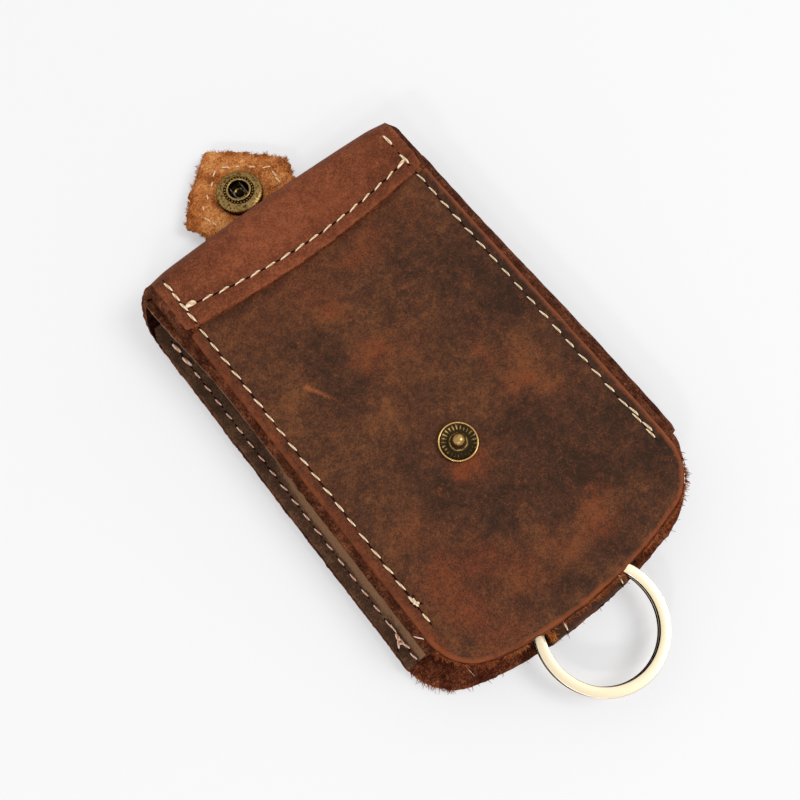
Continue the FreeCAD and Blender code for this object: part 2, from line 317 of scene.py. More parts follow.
def axes(centre: Vector, along: Vector, up: Vector, size: Sequence[float]) -> Matrix:
    """Matrix that puts a unit shape at a point.

    Args:
        centre: The point.
        along: Direction of the shape's X axis.
        up: Direction near the shape's Z axis.
        size: Lengths of the shape along its own X, Y and Z.

    Returns:
        The matrix.
    """
    x = along.normalized()
    y = up.cross(x).normalized()
    z = x.cross(y)
    columns = Matrix((x * size[0], y * size[1], z * size[2])).transposed().to_4x4()
    return Matrix.Translation(centre) @ columns


@dataclass(frozen=True)
class Run:
    """A straight or round stretch of a bent line."""

    start: Vector
    heading: Vector
    side: Vector
    radius: float
    length: float

    def at(self, distance: float) -> Vector:
        """Finds a point of the stretch.

        Args:
            distance: Its distance from the start.

        Returns:
            The point.
        """
        if self.radius == 0:
            return self.start + self.heading * distance
        turn = distance / self.radius
        across = self.side * (1 - math.cos(turn))
        return self.start + (self.heading * math.sin(turn) + across) * self.radius


class BentLine:
    """Line of straight runs joined by round bends in a plane, measured along its length."""

    def __init__(self, corners: Sequence[tuple[float, float]], radii: Sequence[float]) -> None:
        """Joins the corners.

        Args:
            corners: Corner points, with the two ends.
            radii: Bend radius at each inner corner.
        """
        points = [Vector(c) for c in corners]
        self.runs: list[Run] = []
        start = points[0]
        for here, corner, after, radius in zip(points, points[1:], points[2:], radii):
            heading, leaving = (corner - here).normalized(), (after - corner).normalized()
            turn = heading.angle_signed(leaving)
            side = Vector((-heading.y, heading.x)) * -math.copysign(1, turn)
            reach = radius * math.tan(abs(turn) / 2)
            first = corner - heading * reach
            self.runs.append(Run(start, heading, side, 0.0, (first - start).length))
            self.runs.append(Run(first, heading, side, radius, radius * abs(turn)))
            start = corner + leaving * reach
        heading = (points[-1] - start).normalized()
        self.runs.append(Run(start, heading, heading, 0.0, (points[-1] - start).length))
        self.length = sum(run.length for run in self.runs)

    def at(self, distance: float) -> Vector:
        """Finds a point of the line.

        Args:
            distance: Its distance along the line.

        Returns:
            The point.
        """
        for run in self.runs[:-1]:
            if distance <= run.length:
                return run.at(distance)
            distance -= run.length
        return self.runs[-1].at(distance)


# Finishes


@dataclass(frozen=True)
class OiledLeather:
    """Full-grain cowhide dressed with oil and wax: clouded, satin, paler where it was bent or rubbed."""

    name: str
    dark: str
    base: str
    light: str
    warm: str
    scuff: str
    worn: str
    cloud: float = 13.0
    flecks: float = 1.5
    rough: tuple[float, float] = (0.46, 0.66)
    contrast: float = 0.33

    def build(self) -> Material:
        """Makes the material.

        Returns:
            The material, which reads the marks of a leather piece.
        """
        material, tree, shader, where = new_material(self.name)
        tone, warm, scuff, wear = (
            add_node(tree, "Attribute", {"attribute_name": mark}, out="Fac") for mark in MARKS
        )
        # Clouds of oil over the hide, blotches inside them, flecks and streaks that break up every
        # border, and pores: real ones are near 0.15 mm and are drawn at 0.3 mm so that they show
        cloud, blotch, fleck, streak, speck = (
            add_node(tree, "TexNoise", dict(zip(NOISE_INPUTS, (1 / (size * MM), *look))), {"Vector": where})
            for size, *look in (
                (self.cloud, 5.0, 0.62, 0.7),
                (2.4, 4.0, 0.68, 0.0),
                (0.55, 5.0, 0.85, 0.6),
                (1.4, 6.0, 0.8, 2.0),
                (0.3, 2.0, 0.8, 0.0),
            )
        )
        # Sums of patterns; a faint scratch tears into flecks
        mixed = add_node(tree, "Math", {"operation": "MULTIPLY_ADD", 1: 0.9}, {0: blotch, 2: cloud})
        level = add_node(tree, "Math", {"operation": "MULTIPLY_ADD", 1: 0.65}, {0: tone, 2: mixed})
        weight = {"operation": "MULTIPLY_ADD", 1: self.flecks}
        flecked = add_node(tree, "Math", weight, {0: fleck, 2: level})
        torn = add_node(tree, "Math", {"operation": "ADD"}, {0: fleck, 1: scuff})
        rubbed = add_node(tree, "Math", {"operation": "MULTIPLY_ADD", 1: 0.7}, {0: blotch, 2: wear})
        middle = 0.95 + 0.5 * self.flecks
        share, spread, pale, deep, scratch, worn = (
            add_node(tree, "MapRange", dict(zip(RANGE_INPUTS, limits)), {"Value": source})
            for source, *limits in (
                (flecked, middle - self.contrast, middle + self.contrast, 1.0),
                (fleck, 0.36, 0.66, 1.3),
                (streak, 0.54, 0.68, 0.75),
                (speck, 0.5, 0.28, 0.95),
                (torn, 0.74, 1.1, 0.95),
                (rubbed, 0.5, 1.15, 0.9),
            )
        )
        warmth = add_node(tree, "Math", {"operation": "MULTIPLY", "use_clamp": True}, {0: warm, 1: spread})
        stops = [(0.0, self.dark), (0.5, self.base), (1.0, self.light)]
        colour = add_node(tree, "ValToRGB", {"stops": stops}, {"Fac": share})
        # Each layer lies over the one before it: warm patches, wax streaks, pores, scratches, and wear with
        # some painted highlight
        layers = (
            (warmth, self.warm), (pale, self.worn), (deep, self.dark), (scratch, self.scuff),
            (worn, self.worn),
        )
        for amount, code in layers:
            paint = {"data_type": "RGBA", 7: linear(code)}
            colour = add_node(tree, "Mix", paint, {0: amount, 6: colour}, 2)
        limits = {"From Min": 0.6, "From Max": 1.15, "To Min": self.rough[0], "To Max": self.rough[1]}
        gloss = add_node(tree, "MapRange", limits, {"Value": level})
        relief = add_node(tree, "Bump", {"Strength": 0.8, "Distance": 0.16 * MM}, {"Height": speck})
        creases = {"Height": fleck, "Normal": relief}
        relief = add_node(tree, "Bump", {"Strength": 0.5, "Distance": 0.2 * MM}, creases)
        links = {"Base Color": colour, "Roughness": gloss, "Normal": relief}
        set_up(tree, shader, {"Specular IOR Level": 0.05}, links)
        return material


@dataclass(frozen=True)
class SplitFibre:
    """Flesh side or raw edge of cowhide: matt loose fibres, felted on the flesh, ragged on a cut."""

    name: str
    dark: str
    base: str
    light: str
    fibre: float = 0.7
    relief: float = 0.35
    nap: float = 0.0
    patch: float = 4.5

    def build(self) -> Material:
        """Makes the material.

        Returns:
            The material.
        """
        material, tree, shader, where = new_material(self.name)
        felt, patch = (
            add_node(tree, "TexNoise", dict(zip(NOISE_INPUTS, (1 / (size * MM), *look))), {"Vector": where})
            for size, *look in ((self.fibre, 5.0, 0.72, 1.2), (self.patch, 3.0, 0.6, 0.0))
        )
        level = add_node(tree, "Math", {"operation": "MULTIPLY_ADD", 1: 0.6}, {0: patch, 2: felt})
        stops = [(0.62, self.dark), (0.80, self.base), (0.98, self.light)]
        colour = add_node(tree, "ValToRGB", {"stops": stops}, {"Fac": level})
        relief = add_node(tree, "Bump", {"Strength": 0.9, "Distance": self.relief * MM}, {"Height": felt})
        settings = {
            "Roughness": 0.92,
            "Specular IOR Level": 0.05,
            "Sheen Weight": self.nap,
            "Sheen Roughness": 0.5,
            "Sheen Tint": linear(self.light),
        }
        set_up(tree, shader, settings, {"Base Color": colour, "Normal": relief})
        return material


@dataclass(frozen=True)
class WaxedThread:
    """Waxed linen thread: twisted plies, with painted shade in the grooves between them."""

    name: str
    dark: str
    base: str
    fluff: float = 0.5

    def build(self) -> Material:
        """Makes the material.

        Returns:
            The material, which reads the painted shade of a stitch's ply grooves.
        """
        material, tree, shader, where = new_material(self.name)
        ply = add_node(tree, "Attribute", {"attribute_name": "ply"}, out="Fac")
        strands = {"Scale": 1 / (self.fluff * MM), "Detail": 3.0}
        fluff = add_node(tree, "TexNoise", strands, {"Vector": where})
        level = add_node(tree, "Math", {"operation": "MULTIPLY_ADD", 1: 0.5}, {0: ply, 2: fluff})
        stops = [(0.25, self.dark), (0.75, self.base)]
        colour = add_node(tree, "ValToRGB", {"stops": stops}, {"Fac": level})
        relief = add_node(tree, "Bump", {"Strength": 0.4, "Distance": 0.15 * MM}, {"Height": fluff})
        settings = {"Roughness": 0.7, "Specular IOR Level": 0.3}
        set_up(tree, shader, settings, {"Base Color": colour, "Normal": relief})
        return material


@dataclass(frozen=True)
class PlatedMetal:
    """Plated brass or steel: bright where it is rubbed, dark patina in the recesses."""

    name: str
    patina: str
    bright: str
    roughness: float
    grit: float = 0.5
    stains: float = 1.0

    def build(self) -> Material:
        """Makes the material.

        Returns:
            The material, which reads how polished a place is, with any painted glint added to it.
        """
        material, tree, shader, where = new_material(self.name)
        polish = add_node(tree, "Attribute", {"attribute_name": "polish"}, out="Fac")
        grit = {"Scale": 1 / (self.grit * MM), "Detail": 3.0, "Roughness": 0.6}
        stain = add_node(tree, "TexNoise", grit, {"Vector": where})
        weight = {"operation": "MULTIPLY_ADD", 1: self.stains}
        level = add_node(tree, "Math", weight, {0: stain, 2: polish})
        limits = {"From Min": 0.5 * self.stains, "From Max": 0.5 * self.stains + 0.55}
        clean = add_node(tree, "MapRange", limits, {"Value": level})
        stops = [(0.0, self.patina), (1.0, self.bright)]
        colour = add_node(tree, "ValToRGB", {"stops": stops}, {"Fac": clean})
        limits = {"To Min": self.roughness + 0.2, "To Max": self.roughness}
        rough = add_node(tree, "MapRange", limits, {"Value": clean})
        relief = add_node(tree, "Bump", {"Strength": 0.2, "Distance": 0.03 * MM}, {"Height": stain})
        settings = {"Metallic": 1.0, "Specular Tint": linear(self.bright)}
        set_up(tree, shader, settings, {"Base Color": colour, "Roughness": rough, "Normal": relief})
        return material


def built(finish: OiledLeather | SplitFibre | WaxedThread | PlatedMetal) -> Material:
    """Field of Finishes whose material is built with the set."""
    return field(default_factory=finish.build)


@dataclass
class Finishes:
    """All the materials of the case, each built once."""

    # Oiled hide of the front: dark clouds, warm rubbed patches and fine pale flecks
    front: Material = built(
        OiledLeather(
            "oiled_cowhide_front", "#36251b", "#563626", "#7c4e30", "#884126", "#9a5836", "#8e4c2d"
        )
    )
    # The same hide at the fold, where the bend draws the oil apart: redder and paler
    back: Material = built(
        OiledLeather(
            "oiled_cowhide_back", "#512b1c", "#774028", "#9b583a", "#8a4228", "#a05c38", "#9a5637",
            cloud=18.0,
            flecks=1.9,
        )
    )
    # Thin hide of the side strips: grey brown, and paler on the wall
    gusset: Material = built(
        OiledLeather(
            "oiled_cowhide_gusset", "#3c2b21", "#5a4031", "#8f6a4d", "#5a3826", "#a3775e", "#8a6648"
        )
    )
    # Close hide of the strap: dark and almost even, worn at its edges
    strap: Material = built(
        OiledLeather(
            "oiled_cowhide_strap", "#2f1e15", "#44291b", "#57392a", "#5c3826", "#9a6240", "#7b4a2c"
        )
    )
    # Flesh sides: matt, felted and red brown; inside the fold a painted shade makes them nearly black
    flesh: Material = built(SplitFibre("cowhide_flesh_side", "#281009", "#582a19", "#935638"))
    inside: Material = built(SplitFibre("cowhide_flesh_painted_shade", "#080403", "#1c0c07", "#3c1b11"))
    # Split hide with a raised nap: orange, soft and matt, with a faint sheen
    suede: Material = built(
        SplitFibre("split_cowhide_suede", "#703613", "#c4733b", "#f0ab67", 0.7, 0.7, 0.15)
    )
    # Cut edges: ragged fibres, dark where they are dyed and lighter where they are rubbed
    edge: Material = built(SplitFibre("cowhide_raw_edge", "#25120b", "#572d1c", "#905739", 0.6, 0.6))
    mouth: Material = built(SplitFibre("cowhide_rubbed_edge", "#462112", "#773d23", "#9e5b37", 0.6, 0.6))
    # Single fibres: painted lighter than their hide, a painted highlight that makes an edge look soft
    fringe_highlight: Material = built(SplitFibre("loose_fibre_painted_highlight", "#6e3018", "#99512c", "#b97746", 0.7, 0.1))
    fluff: Material = built(SplitFibre("suede_fluff_painted_highlight", "#a85f28", "#c67a3c", "#dc9854", 0.7, 0.1))
    # Pale edge, and a needle hole's painted shade
    cut: Material = built(SplitFibre("cowhide_pale_edge", "#4c3526", "#745641", "#926f53", 0.5, 0.1))
    painted_hole_shade: Material = built(SplitFibre("needle_hole_painted_shade", "#120805", "#24120a", "#3a2012", 0.4))
    # Twisted linen drawn through wax: pale plies with a low gloss
    tan: Material = built(WaxedThread("waxed_linen_tan", "#d6ac7a", "#fff0d2"))
    pink: Material = built(WaxedThread("waxed_linen_pink", "#e8946c", "#fff0e4"))
    # Pressed brass with a patina: dark in the hollows, yellow where fingers rub it
    brass: Material = built(PlatedMetal("antique_brass", "#1d150c", "#9a7c4a", 0.34, 0.45, 1.9))
    worn: Material = built(PlatedMetal("rubbed_brass", "#2f2516", "#c39d62", 0.24))
    # Plated steel wire: satin gilt on its flat faces, and a painted dark reflection on its edges
    gilt: Material = built(PlatedMetal("satin_gilt_steel", "#d8c5a2", "#edddbf", 0.29, 0.3, 0.5))
    painted_dark_edge: Material = built(PlatedMetal("gilt_wire_painted_dark_edge", "#080605", "#1f1811", 0.4))
    # Drawn spring wire: plain bright grey
    steel: Material = built(PlatedMetal("spring_steel", "#4a4640", "#c9c4ba", 0.25))


# Leather


@dataclass(frozen=True)
class MouthOutline:
    """Outline of a panel with parallel sides and a crowned mouth with round corners."""

    half: float
    length: float
    corner_r: float
    mouth_r: float

    def corner(self) -> tuple[float, float]:
        """Finds the centre of the right corner's arc.

        Returns:
            Its x and y.
        """
        x = self.half - self.corner_r
        drop = math.sqrt((self.mouth_r - self.corner_r) ** 2 - x**2)
        return x, self.mouth_r - self.length - drop

    def spread(self, u: float) -> float:
        """Spreads columns over the panel; they crowd at the corners to keep these round.

        Args:
            u: Share of the way across the panel.

        Returns:
            The place across the panel.
        """
        flat = self.half - self.corner_r
        reach = (2 * u - 1) * (flat + self.corner_r * math.pi / 2)
        if abs(reach) <= flat:
            return reach
        turn = (abs(reach) - flat) / self.corner_r
        return math.copysign(flat + self.corner_r * math.sin(turn), reach)

    def edge_y(self, x: float) -> float:
        """Finds the mouth edge.

        Args:
            x: Place across the panel.

        Returns:
            The level of the edge there.
        """
        corner_x, corner_y = self.corner()
        join = corner_x * self.mouth_r / (self.mouth_r - self.corner_r)
        if abs(x) <= join:
            return self.mouth_r - self.length - math.sqrt(self.mouth_r**2 - x**2)
        return corner_y - math.sqrt(max(0.0, self.corner_r**2 - (abs(x) - corner_x) ** 2))

    def inset(self, x: float, y: float) -> float:
        """Measures how far inside the sides and the mouth a point lies.

        Args:
            x: Place across the panel.
            y: Place along the panel.

        Returns:
            The distance from the nearest edge.
        """
        corner_x, corner_y = self.corner()
        if y < corner_y and abs(x) > corner_x:
            return self.corner_r - math.hypot(abs(x) - corner_x, y - corner_y)
        crown = self.mouth_r - math.hypot(x, y - self.mouth_r + self.length)
        return min(self.half - abs(x), crown)


@dataclass(frozen=True)
class Spot:
    """A soft patch on the hide: its place and size, how much paler and how much redder it is."""

    x: float
    y: float
    radius: float
    tone: float
    warm: float = 0.0

    def share(self, x: float, y: float) -> float:
        """How strongly the patch shows at a point, from 0 to 1."""
        return dent(math.hypot(x - self.x, y - self.y), self.radius)


@dataclass(frozen=True)
class Scratch:
    """A scratch from one point to another: half its width, and how deep it is from 0 to 1."""

    x0: float
    y0: float
    x1: float
    y1: float
    width: float
    depth: float
    end_width: float = 0.0

    def share(self, x: float, y: float) -> float:
        """Weighs the scratch at a point; it may run out to another width.

        Args:
            x: Place across the case.
            y: Place along the case.

        Returns:
            How much it marks the point.
        """
        start, run = Vector((self.x0, self.y0)), Vector((self.x1 - self.x0, self.y1 - self.y0))
        arm = Vector((x, y)) - start
        along = part_way(0, 1, arm.dot(run) / run.length_squared)
        width = self.width + ((self.end_width or self.width) - self.width) * along
        fade = 1 - 0.5 * along if self.end_width else 1.0
        return self.depth * fade * dent((arm - run * along).length, width)


# Waves that bend the borders of patches: reach, width, and shift in the noise across and along
BORDER_WAVES_X = ((3.4, 6.0, 0, 40), (2.0, 2.2, 70, 0), (1.0, 0.9, 31, 0))
BORDER_WAVES_Y = ((3.4, 6.0, 90, 0), (2.0, 2.2, 0, 130), (1.0, 0.9, 0, 57))


def patchwork(spots: Sequence[Spot], x: float, y: float) -> tuple[float, float]:
    """Tone and warmth of a point under several patches, with wavy borders.

    Args:
        spots: The patches.
        x: Place across the case.
        y: Place along the case.

    Returns:
        The tone and the warmth.
    """
    place = [
        start + sum(reach * waver(x + right, y + up, size) for reach, size, right, up in waves)
        for start, waves in ((x, BORDER_WAVES_X), (y, BORDER_WAVES_Y))
    ]
    shares = [(spot, spot.share(*place)) for spot in spots]
    return sum(s.tone * w for s, w in shares), sum(s.warm * w for s, w in shares)


@dataclass
class LeatherSheet:
    """A cut piece of leather: a bent grain face, a flesh face and the raw edge between them."""

    finishes: Finishes
    thickness: float = 2.0
    columns: int = 100
    rows: int = 100
    edge_round: float = 0.5
    turned: bool = False
    wall_cuts: int = 3

    def spot_at(self, u: float, v: float) -> Vector:
        """Point of the grain face at shares u across and v along the piece."""
        raise NotImplementedError

    def marks_at(self, point: Vector, u: float) -> dict[str, float]:
        """Marks of the hide at a point of the grain face, a share u across the piece."""
        return {}

    def cut_away(self, point: Vector) -> bool:
        """Whether a point lies in an opening of the piece."""
        return False

    def edge_slant(self, point: Vector) -> float:
        """How far the flesh side reaches past the grain side at a point of the cut edge."""
        return 0.0

    def solid(self) -> BMesh:
        """Cuts the piece from a grid, bends it and gives it its thickness.

        Returns:
            The mesh in millimetres, with its faces sorted by Skin.
        """
        bm = bmesh.new()
        bmesh.ops.create_grid(bm, x_segments=self.columns, y_segments=self.rows, size=0.5)
        layers = {mark: bm.verts.layers.float.new(mark) for mark in MARKS}
        for vert in bm.verts:
            u, v = vert.co.x + 0.5, vert.co.y + 0.5
            vert.co = self.spot_at(u, v)
            for mark, value in self.marks_at(vert.co, u).items():
                vert[layers[mark]] = value
        opening = [face for face in bm.faces if self.cut_away(face.calc_center_median())]
        bmesh.ops.delete(bm, geom=opening, context="FACES")
        if self.turned:
            bmesh.ops.reverse_faces(bm, faces=bm.faces)
        bm.normal_update()
        grain = bm.faces[:]
        made = bmesh.ops.solidify(bm, geom=grain, thickness=self.thickness)["geom"]
        flesh = [item for item in made if isinstance(item, BMFace)]
        for face in set(bm.faces) - set(grain):
            face.material_index = Skin.EDGE.value
        for face in flesh:
            face.material_index = Skin.FLESH.value
        self.round_edges(bm)
        return bm

    def round_edges(self, bm: BMesh) -> None:
        """Softens the cut edge on the grain side and roughens the wall below it.

        Args:
            bm: The mesh, with its faces sorted by Skin.
        """
        bm.normal_update()
        walls = {face for face in bm.faces if face.material_index == Skin.EDGE.value}
        posts = [edge for edge in bm.edges if walls.issuperset(edge.link_faces)]
        for vert in {vert for face in walls for vert in face.verts}:
            skins = {face.material_index for face in vert.link_faces}
            slant = self.edge_slant(vert.co)
            if Skin.FLESH.value in skins and slant:
                out = sum((face.normal for face in vert.link_faces if face in walls), Vector())
                vert.co += Vector((out.x, out.y, 0)).normalized() * slant
        bmesh.ops.subdivide_edges(bm, edges=posts, cuts=self.wall_cuts, use_grid_fill=True)
        corners = [
            edge
            for edge in bm.edges
            if {f.material_index for f in edge.link_faces} == {Skin.GRAIN.value, Skin.EDGE.value}
        ]
        bmesh.ops.bevel(
            bm,
            geom=corners,
            offset=self.edge_round,
            segments=3,
            profile=0.5,
            affect="EDGES",
            material=-1,
            clamp_overlap=True,
        )
        bm.normal_update()
        for vert in bm.verts:
            if all(face.material_index == Skin.EDGE.value for face in vert.link_faces):
                across, along = vert.co.x + vert.co.z, vert.co.y - vert.co.z
                torn = 0.2 * waver(across, along, 1.2) + 0.14 * waver(across, along + 50, 0.5)
                vert.co += vert.normal * (torn + 0.1)


@dataclass
class BackPanel(LeatherSheet):
    """Back, fold and lap in one piece of leather, with the slot that the strap runs through."""

    columns: int = 120
    rows: int = 250
    edge_round: float = 1.1
    turned: bool = True
    outline: MouthOutline = MouthOutline(41.0, 114.8, 14.0, 114.0)
    mouth_waves: Waves = ((0.16, 3, 0.8), (0.22, 9, 2.6))
    lap_half: float = 34.3
    lap_length: float = 12.4
    lap_edge_r: float = 200.0
    lap_waves: Waves = ((0.10, 21, 0.9), (0.18, 27, 5))
    lap_seam_y: float = -9.3
    lap_seam_r: float = 140.0
    lap_seam_tilt: float = 0.026
    lap_seam_half: float = 31.0
    side_seam_x: float = 31.6
    seam_pull: float = 0.28
    seam_pull_width: float = 0.9
    fold_reach: float = 8.3
    lower_r: float = 10.5
    upper_r: float = 6.1
    lap_top: float = 16.6
    taper_height: float = 14.6
    taper_left: float = 1.6
    taper_right: float = 1.15
    slot_half: float = 11.6
    slot_low: float = 2.0
    slot_high: float = 4.7
    slot_lip: float = 0.1
    fold_bow: float = 0.9
    fold_end_drop: float = 0.7
    fold_slant: float = 1.8
    right_trim: float = 3.0
    right_flare: float = 1.0
    right_cut: float = 1.2
    gusset_end: tuple[float, float] = (-96.4, -93.6)
    painted_shade_from: float = -4.8
    profile: BentLine = field(init=False)
    spots: tuple[Spot, ...] = (
        Spot(0, -3, 12, 0.18, 0.25),
        Spot(-28, 3, 7, -0.2),
        Spot(24, -2, 6, -0.22, 0.2),
        Spot(10, -5, 5, 0.12, 0.3),
        Spot(-14, -4, 7, 0.05, 0.2),
        Spot(0, 8, 30, 0.12),
    )

    def __post_init__(self) -> None:
        """Lays out the side view of the piece, from the mouth to the lap's edge."""
        corners = [
            (-self.outline.length, 0.0),
            (self.fold_reach, 0.0),
            (self.fold_reach, self.lap_top),
            (-self.lap_length, self.lap_top),
        ]
        self.profile = BentLine(corners, [self.lower_r, self.upper_r])

    def lap_edge(self, x: float) -> float:
        """Level of the lap's free edge at x."""
        return self.lap_edge_r - self.lap_length - math.sqrt(self.lap_edge_r**2 - x**2)

    def lap_seam(self, x: float) -> float:
        """Level of the lap's seam at x; it runs a little askew."""
        sag = self.lap_seam_r - math.sqrt(self.lap_seam_r**2 - x**2)
        return self.lap_seam_y + sag - self.lap_seam_tilt * x

    def fold_drop(self, x: float) -> float:
        """How far the fold falls back at x; its ends are rounder than its middle."""
        return self.fold_bow * (x / self.lap_half) ** 2 + self.fold_end_drop * smooth(29, 37, abs(x))

    def spot_at(self, u: float, v: float) -> Vector:
        """Bends the piece along its side view, and narrows it towards the lap.

        Args:
            u: Share of the way across the piece.
            v: Share of the way along it.

        Returns:
            The point of the grain face.
        """
        y, z = self.profile.at(v * self.profile.length)
        bend = self.taper_left if u < 0.5 else self.taper_right
        taper = min(1.0, max(0.0, z) / self.taper_height) ** bend
        half = self.outline.half + (self.lap_half - self.outline.half) * taper
        across = self.outline.spread(u)
        x = across * half / self.outline.half
        foot, shoulder = self.fold_reach - self.lower_r, self.fold_reach - self.upper_r
        y -= self.fold_drop(x) * smooth(foot, self.fold_reach, y)
        if z == 0 and y < foot:
            share = (foot - y) / (foot + self.outline.length)
            corner = self.right_trim * smooth(24, 41, across) * smooth(0.72, 1.0, share)
            mouth = self.outline.edge_y(across) + stray(across, self.mouth_waves) + corner
            y = foot + (mouth - foot) * share
        if z >= self.lap_top - 1e-6 and y < shoulder:
            share = (shoulder - y) / (shoulder + self.lap_length)
            y = shoulder + (self.lap_edge(x) + stray(x, self.lap_waves) - shoulder) * share
            z += self.lap_relief(x, y)
        side = smooth(0.9, 1.0, abs(2 * u - 1))
        x += math.copysign(side * (0.2 * waver(y, z + 31, 1.1) + 0.16 * waver(y, z, 4)), x)
        outer, before_end = smooth(30, 41, x), smooth(*self.gusset_end, y)
        x += outer * self.right_flare * smooth(-15, -70, y) * before_end
        x -= outer * self.right_cut * (1 - before_end)
        return Vector((x, y, z))

    def edge_slant(self, point: Vector) -> float:
        """How far the flesh side reaches past the grain side at a point of the cut edge."""
        on_side = abs(point.x) > self.lap_half - 2 and point.y > -self.lap_length
        return self.fold_slant * smooth(9, 14, point.z) if on_side else 0.0

    def lap_relief(self, x: float, y: float) -> float:
        """Shapes the lap: the seams pull it in, and its edge rolls down.

        Args:
            x: Place across the case.
            y: Place along the case.

        Returns:
            Its height over the plain level.
        """
        seam = abs(y - self.lap_seam(x)) if abs(x) < self.lap_seam_half else FAR
        side = abs(abs(x) - self.side_seam_x)
        rim = y - self.lap_edge(x)
        pulled = self.seam_pull * (dent(seam, self.seam_pull_width) + dent(side, self.seam_pull_width))
        rolled = (0.55 + 0.8 * smooth(25, 33, abs(x))) * smooth(3.0, 0.0, rim)
        return 0.12 * waver(x, y, 9) - pulled - rolled

    def marks_at(self, point: Vector, u: float) -> dict[str, float]:
        """Marks the hide: patches and a pressed seam on the lap, wear along the edges.

        Args:
            point: Point of the grain face.
            u: Not used.

        Returns:
            The marks by name.
        """
        on_top = point.z > self.lap_top / 2
        tone, warm = patchwork(self.spots, point.x, point.y) if on_top else (0.0, 0.1)
        sides = (self.lap_half if on_top else self.outline.half) - abs(point.x)
        rim = point.y - self.lap_edge(point.x) if on_top and point.y < 2 else FAR
        pressed = smooth(5, 0, abs(point.y - self.lap_seam(point.x))) if on_top else 0.0
        return {
            "tone": tone - 0.2 * pressed,
            "warm": warm,
            "scuff": 0.1 * smooth(6, 0, math.hypot(point.x - 9, point.y + 5.5)),
            "wear": 0.35 * smooth(1.6, 0.0, min(sides, rim)),
        }

    def cut_away(self, point: Vector) -> bool:
        """Whether a point lies in the strap's slot."""
        inside = abs(point.x - STRAP_X) < self.slot_half
        return inside and self.slot_low < point.z < self.slot_high and point.y > 0

    def build(self) -> None:
        """Makes and dresses the piece."""
        looks = self.finishes
        bm = self.solid()
        lip = self.slot_low + self.slot_lip
        for vert in bm.verts:
            # Thin faces at the cut edge may thicken downwards; the grain side lies on the floor.
            vert.co.z = abs(vert.co.z)
            if abs(vert.co.x - STRAP_X) < self.slot_half and -2 < vert.co.y < self.fold_reach:
                if lip < vert.co.z < self.slot_high - 0.6:
                    vert.co.z = lip
        skins = [looks.back, looks.flesh, looks.edge, looks.inside, looks.mouth]
        for face in bm.faces:
            middle = face.calc_center_median()
            # Flesh faces inside the fold take the painted shade that makes them nearly black
            if face.material_index == Skin.FLESH.value and middle.y > self.painted_shade_from:
                face.material_index = skins.index(looks.inside)
            on_top = middle.z > self.lap_top - self.thickness - 2
            if face.material_index == Skin.EDGE.value and on_top and abs(middle.x) < self.lap_half - 1:
                face.material_index = skins.index(looks.mouth)
        piece = make_piece(bm, "back_leather", skins)
        settle(piece, Body.CASE, Slot.BACK, "back_panel")


